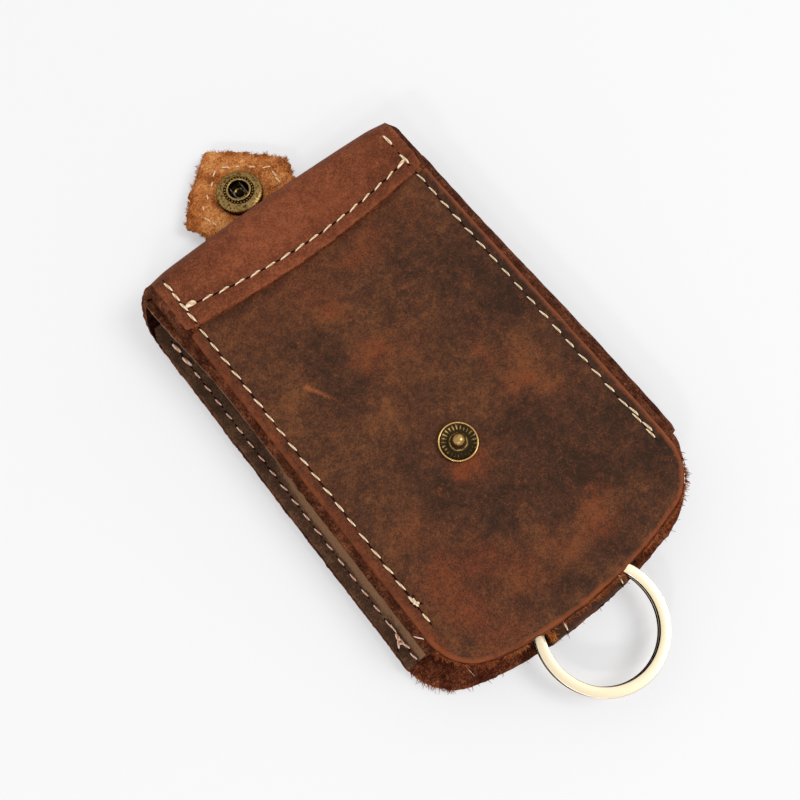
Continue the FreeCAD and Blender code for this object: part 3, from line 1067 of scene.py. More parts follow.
@dataclass
class FrontPanel(LeatherSheet):
    """Front leather: clouded, scratched, worn along its mouth and pulled in by the side seams."""

    columns: int = 160
    rows: int = 270
    edge_round: float = 0.9
    outline: MouthOutline = MouthOutline(34.3, 111.2, 12.0, 98.0)
    mouth_waves: Waves = ((0.07, 5, 0.9), (0.16, 12, 4.5))
    side_waves: Waves = ((0.08, 31, 1.0), (0.14, 37, 6))
    top_y: float = -0.5
    level: float = 14.6
    seam_x: float = 31.8
    seam_end: float = -94.1
    seam_pull: float = 0.26
    seam_pull_width: float = 0.9
    right_bow: float = 0.9
    edge_roll: float = 1.2
    mouth_roll: float = 0.5
    dark_spots: tuple[Spot, ...] = tuple(
        Spot(*row)
        for row in (
            (-14, -34, 6, -0.32), (-16, -44, 5, -0.22), (9, -35, 5, -0.34), (22, -25, 5, -0.16),
            (26, -35, 6, -0.34), (27, -45, 7, -0.46), (24, -52, 4, -0.2), (-16, -67, 5, -0.36),
            (-15, -78, 6, -0.34), (5, -70, 6, -0.36), (14, -73, 6, -0.34), (27, -72, 5, -0.26),
            (22, -80, 5, -0.14), (-5, -86, 6, -0.3), (5, -83, 6, -0.3), (12, -89, 5, -0.36),
            (28, -86, 5, -0.44), (29, -97, 4.5, -0.55), (20, -92, 5, -0.2), (-4, -106, 5, -0.36),
            (10, -104, 4, -0.28), (19, -103, 4, -0.16), (-13, -103, 4, -0.2), (5, -94, 4, -0.3),
        )
    )
    pale_spots: tuple[Spot, ...] = tuple(
        Spot(*row)
        for row in (
            (-26, -36, 6, 0.3, 0.05), (-28, -46, 5, 0.2), (-10, -52, 5, 0.28, 0.1),
            (-14, -57, 5, 0.24), (-4, -57, 6, 0.22, 0.05), (0, -44, 6, 0.24, 0.2),
            (-3, -38, 4, 0.2, 0.3), (17, -42, 5, 0.2), (19, -58, 4.5, 0.26, 0.1),
            (21, -65, 5.5, 0.44, 0.3), (9, -62, 5, 0.16), (-6, -26, 3.0, 0.4, 0.95),
            (-4.7, -39.5, 2.6, 0.4, 0.8), (15.2, -53.5, 2.2, 0.3, 0.6), (18.5, -67.6, 3.5, 0.3, 0.7),
            (-5.5, -74, 2.6, 0.3, 0.7), (6, -18, 3.5, 0.25, 0.7), (12, -16, 5, 0.16, 0.5),
            (-6, -16, 7, 0.1, 0.4), (-22, -17, 7, 0.08, 0.25), (24, -15, 5, 0.05, 0.3),
            (-3, -73, 4.2, 0.3, 0.85), (-22, -76, 4, 0.14, 0.4), (-24, -88, 5, 0.25, 0.8),
            (-15, -90, 4, 0.2, 0.6), (-25, -97, 5, 0.29, 0.85), (-10, -98, 5, 0.2, 0.6),
            (1, -99, 4, 0.26, 0.65), (10.5, -99, 4, 0.24, 0.7), (14.5, -95, 3, 0.28, 0.6),
            (-22, -106, 5, 0.25, 0.5),
        )
    )
    scratches: tuple[Scratch, ...] = (
        Scratch(-21.1, -36.8, -17.1, -44.2, 0.85, 0.66, 0.4),
        Scratch(-8.4, -24.0, -3.2, -29.6, 1.5, 0.26),
        Scratch(8.4, -33.0, 6.0, -38.0, 0.6, 0.28),
        Scratch(25.2, -36.8, 27.8, -38.8, 0.6, 0.24),
        Scratch(14.8, -52.4, 15.8, -55.0, 0.6, 0.24),
        Scratch(-20.6, -84.7, -20.2, -87.4, 0.6, 0.24),
        Scratch(27.5, -90.0, 27.3, -96.0, 0.5, 0.22),
        Scratch(10.6, -95.6, 13.0, -92.4, 0.7, 0.26),
    )

    def bow_at(self, x: float, y: float) -> float:
        """How far the right side bows out at a point."""
        return self.right_bow * smooth(20, 34, x) * smooth(-112, -90, y)

    def spot_at(self, u: float, v: float) -> Vector:
        """Lays the panel flat, with its relief, a bowed right side and ragged edges.

        Args:
            u: Share of the way across the piece.
            v: Share of the way along it.

        Returns:
            The point of the grain face.
        """
        x = self.outline.spread(u)
        mouth = self.outline.edge_y(x) + stray(x, self.mouth_waves)
        y = mouth + (self.top_y - mouth) * v
        z = self.level + self.relief(x, y)
        x += self.bow_at(x, y)
        side = smooth(0.92, 1.0, abs(2 * u - 1))
        x += math.copysign(side * stray(y, self.side_waves), x)
        return Vector((x, y, z))

    def roll_edges(self, bm: BMesh) -> None:
        """Rounds the grain side over towards the cut edge; the wall below it shrinks to fit.

        Args:
            bm: The solid piece.
        """
        low = self.level - self.thickness
        for vert in bm.verts:
            x, y, z = vert.co
            inset = self.outline.inset(x - self.bow_at(x, y), y) + stray(y, self.side_waves)
            inset = max(0.0, inset)
            on_side = smooth(-104, -94, y)
            radius = self.mouth_roll + (self.edge_roll - self.mouth_roll) * on_side
            if inset < radius:
                drop = radius - math.sqrt(radius**2 - (radius - inset) ** 2)
                vert.co.z -= drop * part_way(0, 1, (z - low) / self.thickness)

    def edge_slant(self, point: Vector) -> float:
        """How far the flesh side reaches past the grain side at a point of the cut edge."""
        reach = 1.0 if point.x < 0 else 1.4
        return 0.5 + reach * smooth(30, 33, abs(point.x)) * smooth(-103, -96, point.y)

    def relief(self, x: float, y: float) -> float:
        """Shapes the panel: soft waves, seams that pull in and edges that roll down.

        Args:
            x: Place across the case.
            y: Place along the case.

        Returns:
            Its height over the plain level.
        """
        seam = abs(abs(x) - self.seam_x) if y > self.seam_end - 1 else FAR
        pulled = self.seam_pull * dent(seam, self.seam_pull_width)
        rolled = 0.6 * smooth(2.8, 0.0, self.outline.inset(x, y))
        return 0.16 * waver(x, y, 16) + 0.06 * waver(x, y, 5) - pulled - rolled

    def marks_at(self, point: Vector, u: float) -> dict[str, float]:
        """Marks the hide: patches, scratches, wear at the mouth and along the seams, painted shade beside
        the right seam and a painted highlight on the right rim.

        Args:
            point: Point of the grain face.
            u: Not used.

        Returns:
            The marks by name.
        """
        x, y, _ = point
        tone, warm = patchwork(self.dark_spots + self.pale_spots, x, y)
        at_mouth = smooth(-90, -100, y)
        patchy = 0.5 + 0.5 * waver(x, y, 6)
        rim = smooth(1.6, 0.1, self.outline.inset(x, y)) * (0.3 + 0.8 * at_mouth * patchy)
        margin = smooth(31.0, 32.6, -x)
        torn = smooth(32.3, 33.4, -x) * (0.5 + 0.9 * waver(x, y, 1.7))
        sunk = margin * max(0.0, waver(y, x + 60, 3.2))
        # Painted shade on the band just outside the right seam; past it, the right rim is lightened in the
        # wear mark, partly real wear and partly a painted highlight
        shade = smooth(31.0, 32.6, x) * smooth(35.0, 33.5, x)
        return {
            "tone": min(tone, 0.6 * tone) - 0.35 * shade - 0.6 * sunk,
            "warm": 0.9 * warm + (0.6 - 0.5 * sunk) * margin,
            "scuff": max(line.share(x, y) for line in self.scratches),
            "wear": rim + (0.2 + 0.3 * patchy) * smooth(33.9, 34.7, x) + 0.28 * torn,
        }

    def build(self) -> None:
        """Makes and dresses the piece."""
        looks = self.finishes
        bm = self.solid()
        self.roll_edges(bm)
        skins = [looks.front, looks.flesh, looks.edge, looks.mouth]
        for face in bm.faces:
            past_seam = face.calc_center_median().y < self.seam_end - 5
            if face.material_index == Skin.EDGE.value and past_seam:
                face.material_index = skins.index(looks.mouth)
        piece = make_piece(bm, "front_leather", skins)
        settle(piece, Body.CASE, Slot.FRONT, "front_panel")


@dataclass
class Gusset(LeatherSheet):
    """Side strip: a flange on each panel and a wall that leans inwards between them."""

    thickness: float = 1.4
    columns: int = 44
    rows: int = 180
    edge_round: float = 0.3
    side: Side = Side.LEFT
    outer_x: float = 41.0
    foot_x: float = 33.9
    foot_out: float = 3.9
    head_x: float = 29.4
    head_out: float = 5.4
    upper_x: float = 36.1
    upper_out: float = 1.9
    lower_z: float = 3.4
    upper_z: float = 11.2
    lower_r: float = 1.3
    upper_r: float = 0.5
    top_y: float = 3.2
    flange_top: float = 1.0
    end_y: float = -98.7
    right_end_y: float = -94.4
    right_outer_x: float = 39.8
    right_upper_in: float = 1.8
    right_flare: float = 1.1
    slant: float = 0.3
    right_slant: float = 1.5
    seam_x: float = 38.3
    seam_pull: float = 0.2
    seam_pull_width: float = 0.9
    fold_y: float = -2.2
    fold_inner_r: float = 8.5
    fold_lean: float = 0.45
    pale_end: float = -50.0
    pale_fade: float = 14.0
    frayed_x: float = 39.0
    scuff_at: tuple[float, float] = (-34.6, -94.6)

    def __post_init__(self) -> None:
        """Turns the right strip over; it ends sooner and its flange is cut at a slant."""
        if self.side is Side.RIGHT:
            self.turned = True
            self.end_y = self.right_end_y
            self.outer_x = self.right_outer_x
            self.slant = self.right_slant

    def section(self, y: float) -> BentLine:
        """Cross section on the grain side, from the lower flange's edge to the upper's.

        Args:
            y: Place along the case.

        Returns:
            The section in x and z.
        """
        left = self.side is Side.LEFT
        stand = smooth(-20, -60, y) if left else 0.0
        flare = 0.0 if left else self.right_flare * smooth(-15, -70, y)
        upper_out = self.upper_out * smooth(-28, 3, y) if left else -self.right_upper_in
        corners = [
            (self.outer_x + flare, self.lower_z),
            (self.foot_x + self.foot_out * stand, self.lower_z),
            (self.head_x + self.head_out * stand, self.upper_z),
            (self.upper_x + upper_out, self.upper_z),
        ]
        return BentLine(corners, [self.lower_r, self.upper_r])

    def edge_slant(self, point: Vector) -> float:
        """How far the flesh side reaches past the grain side at a point of the cut edge."""
        return self.slant if abs(point.x) > self.outer_x - 0.5 and point.z < self.lower_z else 0.0

    def spot_at(self, u: float, v: float) -> Vector:
        """Follows the cross section along the case, and climbs into the fold at the top.

        Args:
            u: Share of the way across the piece.
            v: Share of the way along it.

        Returns:
            The point of the grain face.
        """
        top = self.flange_top + (self.top_y - self.flange_top) * smooth(0.3, 0.8, u)
        y = self.end_y + (top - self.end_y) * v
        section = self.section(y)
        across, level = section.at(u * section.length)
        y += 0.12 * waver(across, self.side.value * 9, 1.4) * smooth(0.03, 0.0, v)
        wall = smooth(self.lower_z, 6, level) * smooth(self.upper_z, 9, level)
        bulge = wall * (0.3 * waver(y, 3 * self.side.value, 22) + 0.1 * waver(y, 17, 6))
        x = across + bulge + 0.14 * waver(y, 8 + self.side.value, 3) * smooth(0.1, 0.0, u)
        seam = dent(across - self.seam_x, self.seam_pull_width) if level < 4 else 0.0
        into_fold = max(0.0, y - self.fold_y)
        climb = self.fold_inner_r - math.sqrt(self.fold_inner_r**2 - into_fold**2)
        low_share = 1 - part_way(self.lower_z, self.upper_z, level)
        z = level - self.seam_pull * seam + climb * low_share
        return Vector((self.side.value * (x - self.fold_lean * into_fold * low_share), y, z))

    def marks_at(self, point: Vector, u: float) -> dict[str, float]:
        """Marks the hide: a wall that pales towards the mouth, a scuff and worn edges.

        Args:
            point: Point of the grain face.
            u: Share of the way across the piece.

        Returns:
            The marks by name.
        """
        # The wall is drawn paler than the flanges, more so towards the mouth
        wall = smooth(self.lower_z - 0.4, self.lower_z + 1.6, point.z)
        pale = smooth(-20, -70, point.y) * (1 - 0.35 * smooth(-66, -92, point.y))
        bend = wall * pale * (0.8 + 0.4 * waver(point.y, 2, 12))
        scuff_x, scuff_y = self.scuff_at
        scuff = math.hypot((point.x - scuff_x) * 0.7, (point.y - scuff_y) * 1.6)
        return {
            "tone": 1.3 * bend - 0.16,
            "warm": 0.15,
            "scuff": 0.5 * smooth(2.2, 0.4, scuff),
            "wear": 0.35 * smooth(0.06, 0.0, u) + 0.9 * smooth(0.97, 1.0, u),
        }

    def build(self) -> None:
        """Makes and dresses the piece."""
        looks = self.finishes
        name = f"gusset_{self.side.name.lower()}"
        bm = self.solid()
        skins = [looks.gusset, looks.edge, looks.edge, looks.cut]
        for face in bm.faces:
            middle = face.calc_center_median()
            upper = middle.z > self.upper_z - 1 and abs(face.normal.x) > 0.5
            # Upper side-edge faces from about pale_end towards the fold take the pale edge finish
            rubbed = middle.y > self.pale_end + self.pale_fade * waver(middle.y, 3 * middle.z, 2.0)
            if face.material_index == Skin.EDGE.value and upper and rubbed:
                face.material_index = skins.index(looks.cut)
            elif face.normal.y > 0.5 and middle.y > self.flange_top - 3:
                face.material_index = skins.index(looks.gusset)
            elif middle.x > self.frayed_x and middle.z < self.lower_z + 0.4:
                face.material_index = Skin.EDGE.value
        piece = make_piece(bm, f"{name}_leather", skins)
        settle(piece, Body.CASE, Slot.GUSSET, name)


@dataclass
class Strap(LeatherSheet):
    """Pull strap in one piece: its sewn tail, the loop round the ring, the run and the arrow tab."""

    thickness: float = 1.6
    columns: int = 30
    rows: int = 330
    edge_round: float = 0.3
    turned: bool = True
    tab_rows: int = 110
    half: float = 10.8
    under: float = 2.3
    loop_top: float = 9.0
    sewn_top: float = 5.5
    tail_y: float = -80.04
    sewn_y: float = -94.54
    drop_y: float = -100.54
    drop_r: float = 3.0
    loop_end_y: float = -114.1
    neck_y: float = 9.6
    neck_blend: float = 1.2
    throat_half: float = 13.0
    throat_set: float = 3.1
    shoulder_half: float = 15.0
    shoulder_set: float = 9.4
    tip_set: float = 23.1
    tip_half: float = 0.35
    swell_left: float = 1.0
    swell_right: float = 0.4
    profile: BentLine = field(init=False)
    stations: list[float] = field(init=False)

    def __post_init__(self) -> None:
        """Lays out the side view on the grain side, from the sewn tail to the tab's tip."""
        corners = [
            (self.tail_y, self.sewn_top),
            (self.sewn_y, self.sewn_top),
            (self.drop_y, self.loop_top),
            (self.loop_end_y, self.loop_top),
            (self.loop_end_y, self.under),
            (self.neck_y + self.tip_set, self.under),
        ]
        bend = (self.loop_top - self.under) / 2
        self.profile = BentLine(corners, [self.drop_r, self.drop_r, bend, bend - 1e-4])
        tab = self.tip_set + 4
        loop = self.profile.length - tab
        coarse, fine = self.rows - self.tab_rows, self.tab_rows
        self.stations = [loop * i / coarse for i in range(coarse)]
        self.stations += [loop + tab * i / fine for i in range(fine + 1)]

    def half_at(self, set_out: float, side: Side) -> float:
        """Measures half the width; the arrow's edges swell a little.

        Args:
            set_out: Distance past the neck.
            side: The side of the strap.

        Returns:
            Half the width there.
        """
        marks = [
            (0.0, self.half),
            (self.throat_set, self.throat_half),
            (self.shoulder_set, self.shoulder_half),
            (self.tip_set, self.tip_half),
        ]
        swell = self.swell_left if side is Side.LEFT else self.swell_right
        arrow = part_way(self.shoulder_set, self.tip_set, set_out)
        for (start, low), (end, high) in zip(marks, marks[1:]):
            if set_out <= end:
                share = part_way(start, end, set_out)
                return low + (high - low) * share + swell * math.sin(math.pi * arrow)
        return marks[-1][1]

    def spot_at(self, u: float, v: float) -> Vector:
        """Follows the side view; the tab is cut to an arrow with frayed edges.

        Args:
            u: Share of the way across the piece.
            v: Share of the way along it.

        Returns:
            The point of the grain face.
        """
        y, z = self.profile.at(self.stations[round(v * self.rows)])
        set_out = y - self.neck_y if z < self.under + 0.01 else -1.0
        across = 2 * u - 1
        side = Side.LEFT if across < 0 else Side.RIGHT
        half = self.half_at(set_out, side)
        frayed = 0.06 if set_out < 0 else min(1.3, 0.25 * half)
        fray = stray(y, ((0.9, 70.3 * side.value, 1.0), (0.8, 40.7 * side.value, 0.43)))
        x = across * (half + frayed * fray)
        if set_out > 0:
            z += 0.25 * waver(x, y, 6)
        return Vector((STRAP_X + x, y, z))

    def marks_at(self, point: Vector, u: float) -> dict[str, float]:
        """Marks the hide: soft clouds and worn edges.

        Args:
            point: Point of the grain face.
            u: Share of the way across the piece.

        Returns:
            The marks by name.
        """
        side = (1 - abs(2 * u - 1)) * self.half
        return {
            "tone": 0.15 * waver(point.x, point.y, 5) - 0.05,
            "warm": 0.1,
            "wear": 0.6 * smooth(1.2, 0.0, side),
        }

    def build(self) -> None:
        """Makes the piece, bends it between strap and tab, and dresses it."""
        looks = self.finishes
        bm = self.solid()
        for face in bm.faces:
            if face.material_index == Skin.EDGE.value and face.calc_center_median().y > self.neck_y:
                face.material_index = Skin.FLESH.value
        piece = make_piece(bm, "strap_leather", [looks.strap, looks.suede, looks.edge])
        neck = Vector((STRAP_X, self.neck_y + FOLD_LINE_Y, self.under + self.thickness)) * MM
        reach = Vector((0, self.neck_blend * MM, 0))
        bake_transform(piece, Body.STRAP.value, Body.TAB.value, neck - reach, neck + reach)
        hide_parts("pull_strap", "strap_tab")
        log.info("%s: %d faces, bends at the neck", piece.name, len(piece.data.polygons))


# Thread


@dataclass(frozen=True)
class Stitch:
    """One stitch: its middle, its direction, its length and how thick it is beside a plain one."""

    centre: Vector
    along: Vector
    length: float
    bulk: float = 1.0


@dataclass
class Seam:
    """Row of stitches, with discs of painted shade for the needle holes between them."""

    name: str
    body: Body
    slot: Slot
    stitches: list[Stitch]
    seed: int
    slant: float = 7.0
    width: float = 0.4
    height: float = 0.42
    hole_length: float = 1.1
    hole_width: float = 0.4
    hole_set: float = 0.58
    hole_lift: float = 0.04
    plain_bulk: float = 0.9

    @staticmethod
    def stitch_shape() -> Mesh:
        """Makes a plain stitch of unit size: two twisted plies whose ends dip into the leather.

        Returns:
            The shape, along X.
        """
        bm = bmesh.new()
        bmesh.ops.create_cone(bm, cap_ends=True, segments=8, radius1=0.5, radius2=0.5, depth=1.0)
        lengthwise = [e for e in bm.edges if abs(e.verts[0].co.z - e.verts[1].co.z) > 0.5]
        bmesh.ops.subdivide_edges(bm, edges=lengthwise, cuts=6, use_grid_fill=True)
        ply = bm.verts.layers.float.new("ply")
        for vert in bm.verts:
            x, y, t = vert.co
            twist = math.cos(2 * math.atan2(y, x) - 7.5 * t)
            end = (2 * abs(t)) ** 4
            girth = (1 + 0.16 * twist) * (1 - 0.35 * end)
            # The twist value is painted shade for the grooves between the plies
            vert[ply] = twist
            vert.co = Vector((t, x * girth, 0.42 - end + y * girth))
        bmesh.ops.recalc_face_normals(bm, faces=bm.faces)
        return keep_shape(bm, "stitch_shape")

    @staticmethod
    def hole_shape() -> Mesh:
        """Makes the painted shade of a needle hole at unit size, a flat disc that lies on the leather.

        Returns:
            The shape, flat in X and Y.
        """
        bm = bmesh.new()
        bmesh.ops.create_circle(bm, cap_ends=True, segments=10, radius=0.5)
        return keep_shape(bm, "hole_shape")

    def build(self, thread: Material, hole: Material) -> None:
        """Lays the stitches and holes and dresses the seam.

        Args:
            thread: Finish of the thread.
            hole: Finish of the needle holes, a painted shade.
        """
        chance = random.Random(self.seed)
        stitch_shape, hole_shape = self.stitch_shape(), self.hole_shape()
        bm = bmesh.new()
        for stitch in self.stitches:
            turn = math.radians(self.slant + chance.uniform(-4, 4))
            along = Matrix.Rotation(turn, 3, UP) @ stitch.along
            length = stitch.length * chance.uniform(0.96, 1.08)
            width = self.width * stitch.bulk * chance.uniform(0.9, 1.1)
            height = self.height * (1 + 0.4 * (stitch.bulk - 1))
            stamp(bm, stitch_shape, axes(stitch.centre, along, UP, (length, width, height * 1.3)))
            painted_hole_shade = self.hole_length and stitch.bulk >= self.plain_bulk
            for end in (-1, 1) if painted_hole_shade else ():
                spot = stitch.centre + stitch.along * (end * stitch.length * self.hole_set)
                size = (self.hole_length, self.hole_width, 1.0)
                stamp(bm, hole_shape, axes(spot + UP * self.hole_lift, along, UP, size), 1)
        bpy.data.meshes.remove(stitch_shape)
        bpy.data.meshes.remove(hole_shape)
        piece = make_piece(bm, f"{self.name}_thread", [thread, hole])
        settle(piece, self.body, self.slot, self.name)


def stitch_row(
    start: tuple[float, float], end: tuple[float, float], pitch: float, level: float, length: float = 3.0
) -> list[Stitch]:
    """Stitches at an even pitch on a straight line; the pitch is stretched to fit the line.

    Args:
        start: Start of the line in plan.
        end: End of the line in plan.
        pitch: Distance from stitch to stitch.
        level: Height of the leather.
        length: Length of a stitch.

    Returns:
        The stitches in order.
    """
    first, last = Vector((*start, level)), Vector((*end, level))
    along = (last - first).normalized()
    run = (last - first).length - length
    count = max(1, round(run / pitch))
    places = (first + along * (length / 2 + run * i / count) for i in range(count + 1))
    return [Stitch(place, along, length) for place in places]


@dataclass
class CaseSeams:
    """The five seams of the case."""

    finishes: Finishes
    lap: BackPanel
    front_x: float = 31.6
    right_shift: float = 0.5
    front_end: float = -94.1
    front_level: float = 14.4
    lap_level: float = 16.4
    edge_room: float = 0.5
    pitch_left: float = 4.26
    pitch_right: float = 4.57
    pitch_lap: float = 4.0
    lap_seam_half: float = 30.0
    lap_pitch: float = 3.3
    lap_pitch_right: float = 4.6
    lap_start_left: float = 3.0
    lap_start_right: float = 1.8
    lap_end_right: float = 1.6
    lap_right_shift: float = 0.7
    flange_stitch: float = 2.3
    flange_x: float = 38.3
    flange_start: float = -5.0
    flange_end: float = -98.2
    flange_level: float = 3.25

    def side_seam(self, side: Side) -> list[Stitch]:
        """Lays a side seam, first on the lap and then down the front.

        Args:
            side: The side of the case.

        Returns:
            The stitches in order.
        """
        left = side is Side.LEFT
        x = -self.front_x if left else self.front_x + self.right_shift
        edge = self.lap.lap_edge(x)
        pitch = self.pitch_left if left else self.pitch_right
        lower = stitch_row((x, edge - self.edge_room), (x, self.front_end), pitch, self.front_level)
        end = edge + self.edge_room
        if left:
            line = (x, self.lap_start_left), (x, end)
            upper = stitch_row(*line, self.lap_pitch, self.lap_level)
            thick = [replace(stitch, bulk=1.35) for stitch in upper]
            return thick + lower[:-2] + self.end_knot(lower[-2]) + [replace(lower[-1], length=2.4)]
        lap_x = x - self.lap_right_shift
        line = (lap_x, self.lap_start_right), (lap_x, end + self.lap_end_right)
        upper = stitch_row(*line, self.lap_pitch_right, self.lap_level)
        thick = [replace(stitch, length=3.4, bulk=1.5) for stitch in upper]
        shift = Vector((0.5, 1.6, 0))
        doubled = [replace(s, centre=s.centre + shift, bulk=1.15) for s in lower[-2:]]
        return thick + lower + doubled

    @staticmethod
    def end_knot(stitch: Stitch) -> list[Stitch]:
        """Knots a thread: a thick stitch with two short ends drawn over it.

        Args:
            stitch: The plain stitch in its place.

        Returns:
            The three pieces of thread.
        """
        over, back = Vector((0.75, -0.66, 0)), Vector((0.5, 0.87, 0))
        return [
            replace(stitch, length=3.2, bulk=1.5),
            Stitch(stitch.centre + Vector((0.25, -0.7, 0.1)), over, 1.5, 1.7),
            Stitch(stitch.centre + Vector((0.15, -0.1, 0.15)), back, 1.5, 1.4),
        ]

    def lap_seam(self) -> list[Stitch]:
        """Lays the curved seam on the lap.

        Returns:
            The stitches in order.
        """
        count = round(2 * self.lap_seam_half / self.pitch_lap)
        row = []
        for i in range(count + 1):
            x = self.lap_seam_half * (2 * i / count - 1)
            rise = self.lap.lap_seam(x + 1) - self.lap.lap_seam(x - 1)
            along = Vector((2, rise, 0)).normalized()
            row.append(Stitch(Vector((x, self.lap.lap_seam(x), self.lap_level)), along, 3.0))
        knot = replace(row[0], length=2.8, bulk=3.2)
        return [knot] + row[1:-1] + [replace(row[-1], bulk=1.7)]

    def flange_seam(self, side: Side) -> list[Stitch]:
        """Lays the seam of a gusset's lower flange.

        Args:
            side: The side of the case.

        Returns:
            The stitches in order.
        """
        x = side.value * self.flange_x
        pitch = self.pitch_left if side is Side.LEFT else self.pitch_right
        line = (x, self.flange_start), (x, self.flange_end)
        row = stitch_row(*line, pitch, self.flange_level, self.flange_stitch)
        thick = [replace(stitch, length=3.2, bulk=1.9) for stitch in row[:2]]
        return thick + row[2:] + (self.tangle() if side is Side.LEFT else [])

    def tangle(self) -> list[Stitch]:
        """Leaves loose thread ends at the foot of the left flange's seam.

        Returns:
            Short pieces of thread.
        """
        level = self.flange_level + 0.2
        ends = [
            ((-38.1, -89.8), (-0.1, -1.0), 2.6, 1.0),
            ((-38.5, -91.8), (-0.35, -0.9), 2.0, 1.9),
            ((-39.2, -92.9), (-0.7, -0.7), 2.2, 1.4),
            ((-38.2, -94.1), (0.15, -1.0), 2.6, 1.2),
            ((-38.6, -93.3), (0.8, -0.6), 1.4, 1.3),
        ]
        knot = [
            Stitch(Vector((*place, level)), Vector((*along, 0)).normalized(), length, bulk)
            for place, along, length, bulk in ends
        ]
        over_flesh = Stitch(Vector((-30.6, -107.2, 2.05)), Vector((-0.1, -1, 0)), 3.2, 0.22)
        at_corner = Stitch(Vector((-35.3, -94.8, 13.2)), Vector((0.55, -0.83, 0)), 2.2, 0.6)
        return knot + [over_flesh, at_corner]

    def build(self) -> None:
        """Makes and dresses the seams."""
        looks = self.finishes
        for seed, side in enumerate(Side):
            name = side.name.lower()
            front = Seam(f"seam_front_{name}", Body.CASE, Slot.TAN, self.side_seam(side), seed)
            front.build(looks.tan, looks.painted_hole_shade)
            back = Seam(f"seam_back_{name}", Body.CASE, Slot.PINK, self.flange_seam(side), seed + 5)
            back.build(looks.pink, looks.painted_hole_shade)
        curved = Seam("seam_lap", Body.CASE, Slot.TAN, self.lap_seam(), 9)
        curved.build(looks.tan, looks.painted_hole_shade)


@dataclass
class StrapSeams:
    """Thread along the strap, across its sewn tail and round the tab."""

    finishes: Finishes
    strap: Strap
    inset: float = 3.4
    tab_inset: float = 3.5
    pitch: float = 4.4
    tab_pitch: float = 3.1
    tab_stitch: float = 2.0
    tab_lift: float = 0.05
    tip_room: float = 5.4
    edge_room: float = 0.5
    corner_room: float = 0.8
    neck_gap: float = 0.3
    loop_bend_y: float = -110.75
    bend_x: tuple[float, float] = (-9.0, 6.9)
    bend_heading: tuple[float, float, float] = (-0.26, -0.85, -0.46)
    seed: int = 5

    def strap_rows(self) -> list[Stitch]:
        """Lays both edges, on the run and on top of the loop.

        Returns:
            The stitches.
        """
        strap = self.strap
        half = strap.half - self.inset
        top = strap.under + strap.thickness
        rows = []
        for x in (STRAP_X - half, STRAP_X + half):
            run = (x, strap.tail_y + self.edge_room), (x, strap.neck_y - self.neck_gap)
            rows += stitch_row(*run, self.pitch, top)
            loop = (x, self.loop_bend_y), (x, strap.drop_y - strap.drop_r)
            rows += stitch_row(*loop, self.pitch, strap.loop_top)
        for x in self.bend_x:
            centre = Vector((x, self.loop_bend_y - 1.65, strap.loop_top - 0.4))
            rows.append(Stitch(centre, Vector(self.bend_heading), 2.7, 0.9))
        return rows

    def tack_row(self) -> list[Stitch]:
        """Lays the row across the sewn tail.

        Returns:
            The stitches.
        """
        strap = self.strap
        half = strap.half - self.inset
        y = (strap.sewn_y + strap.drop_r + strap.tail_y) / 2
        return stitch_row((STRAP_X - half, y), (STRAP_X + half, y), self.pitch, strap.sewn_top)

    def tab_row(self) -> list[Stitch]:
        """Lays the row round the tab, from the throat by the tip and back.

        Returns:
            The stitches.
        """
        strap = self.strap
        top = strap.under + strap.thickness + self.tab_lift
        right = [
            (strap.throat_half - self.tab_inset - 0.35, strap.throat_set + 0.4),
            (strap.shoulder_half - self.tab_inset - 0.5, strap.shoulder_set - 0.3),
            (0.0, strap.tip_set - self.tip_room),
        ]
        line = [Vector(spot) for spot in right + [(-x, y) for x, y in reversed(right[:-1])]]
        neck = Vector((STRAP_X, strap.neck_y))
        rows = []
        for first, last in zip(line, line[1:]):
            ease = (last - first).normalized() * self.corner_room
            ends = neck + first + ease, neck + last - ease
            rows += stitch_row(*ends, self.tab_pitch, top, self.tab_stitch)
        chance = random.Random(self.seed)
        return [self.loosened(stitch, chance) for stitch in rows]

    @staticmethod
    def loosened(stitch: Stitch, chance: random.Random) -> Stitch:
        """Sets a stitch of the tab's row a little askew, as by hand.

        Args:
            stitch: The stitch in its row.
            chance: The row's random numbers.

        Returns:
            The stitch as it lies.
        """
        length = stitch.length * chance.uniform(0.5, 1.15)
        turn = Matrix.Rotation(math.radians(chance.uniform(-16, 16)), 3, "Z")
        shift = Vector((chance.uniform(-0.25, 0.25), chance.uniform(-0.25, 0.25), 0))
        return replace(stitch, centre=stitch.centre + shift, along=turn @ stitch.along, length=length)

    def build(self) -> None:
        """Makes and dresses the rows."""
        tab = Seam("tab_edge_seam", Body.TAB, Slot.TAN, self.tab_row(), 23)
        tab.width, tab.height, tab.hole_length = 0.36, 0.22, 0.0
        seams = (
            Seam("strap_edge_seam", Body.STRAP, Slot.TAN, self.strap_rows(), 21),
            Seam("loop_tack", Body.STRAP, Slot.TAN, self.tack_row(), 22),
            tab,
        )
        for seam in seams:
            seam.build(self.finishes.tan, self.finishes.painted_hole_shade)


# Metal


def turned_shape(profile: Sequence[tuple[float, float, float]], centre: Vector, steps: int) -> BMesh:
    """Turns a profile about a vertical axis.

    Args:
        profile: Radius, height and polish of each point, from the inside over the top and out.
        centre: Foot of the axis.
        steps: Number of steps in the turn.

    Returns:
        The mesh in millimetres.
    """
    bm = bmesh.new()
    polish = bm.verts.layers.float.new("polish")
    verts = []
    for radius, height, shine in profile:
        vert = bm.verts.new(centre + Vector((radius, 0, height)))
        vert[polish] = shine
        verts.append(vert)
    edges = [bm.edges.new(pair) for pair in zip(verts, verts[1:])]
    geom = verts + edges
    bmesh.ops.spin(bm, geom=geom, cent=centre, axis=UP, angle=math.tau, steps=steps, use_merge=True)
    bmesh.ops.remove_doubles(bm, verts=bm.verts, dist=1e-4)
    bmesh.ops.recalc_face_normals(bm, faces=bm.faces)
    return bm


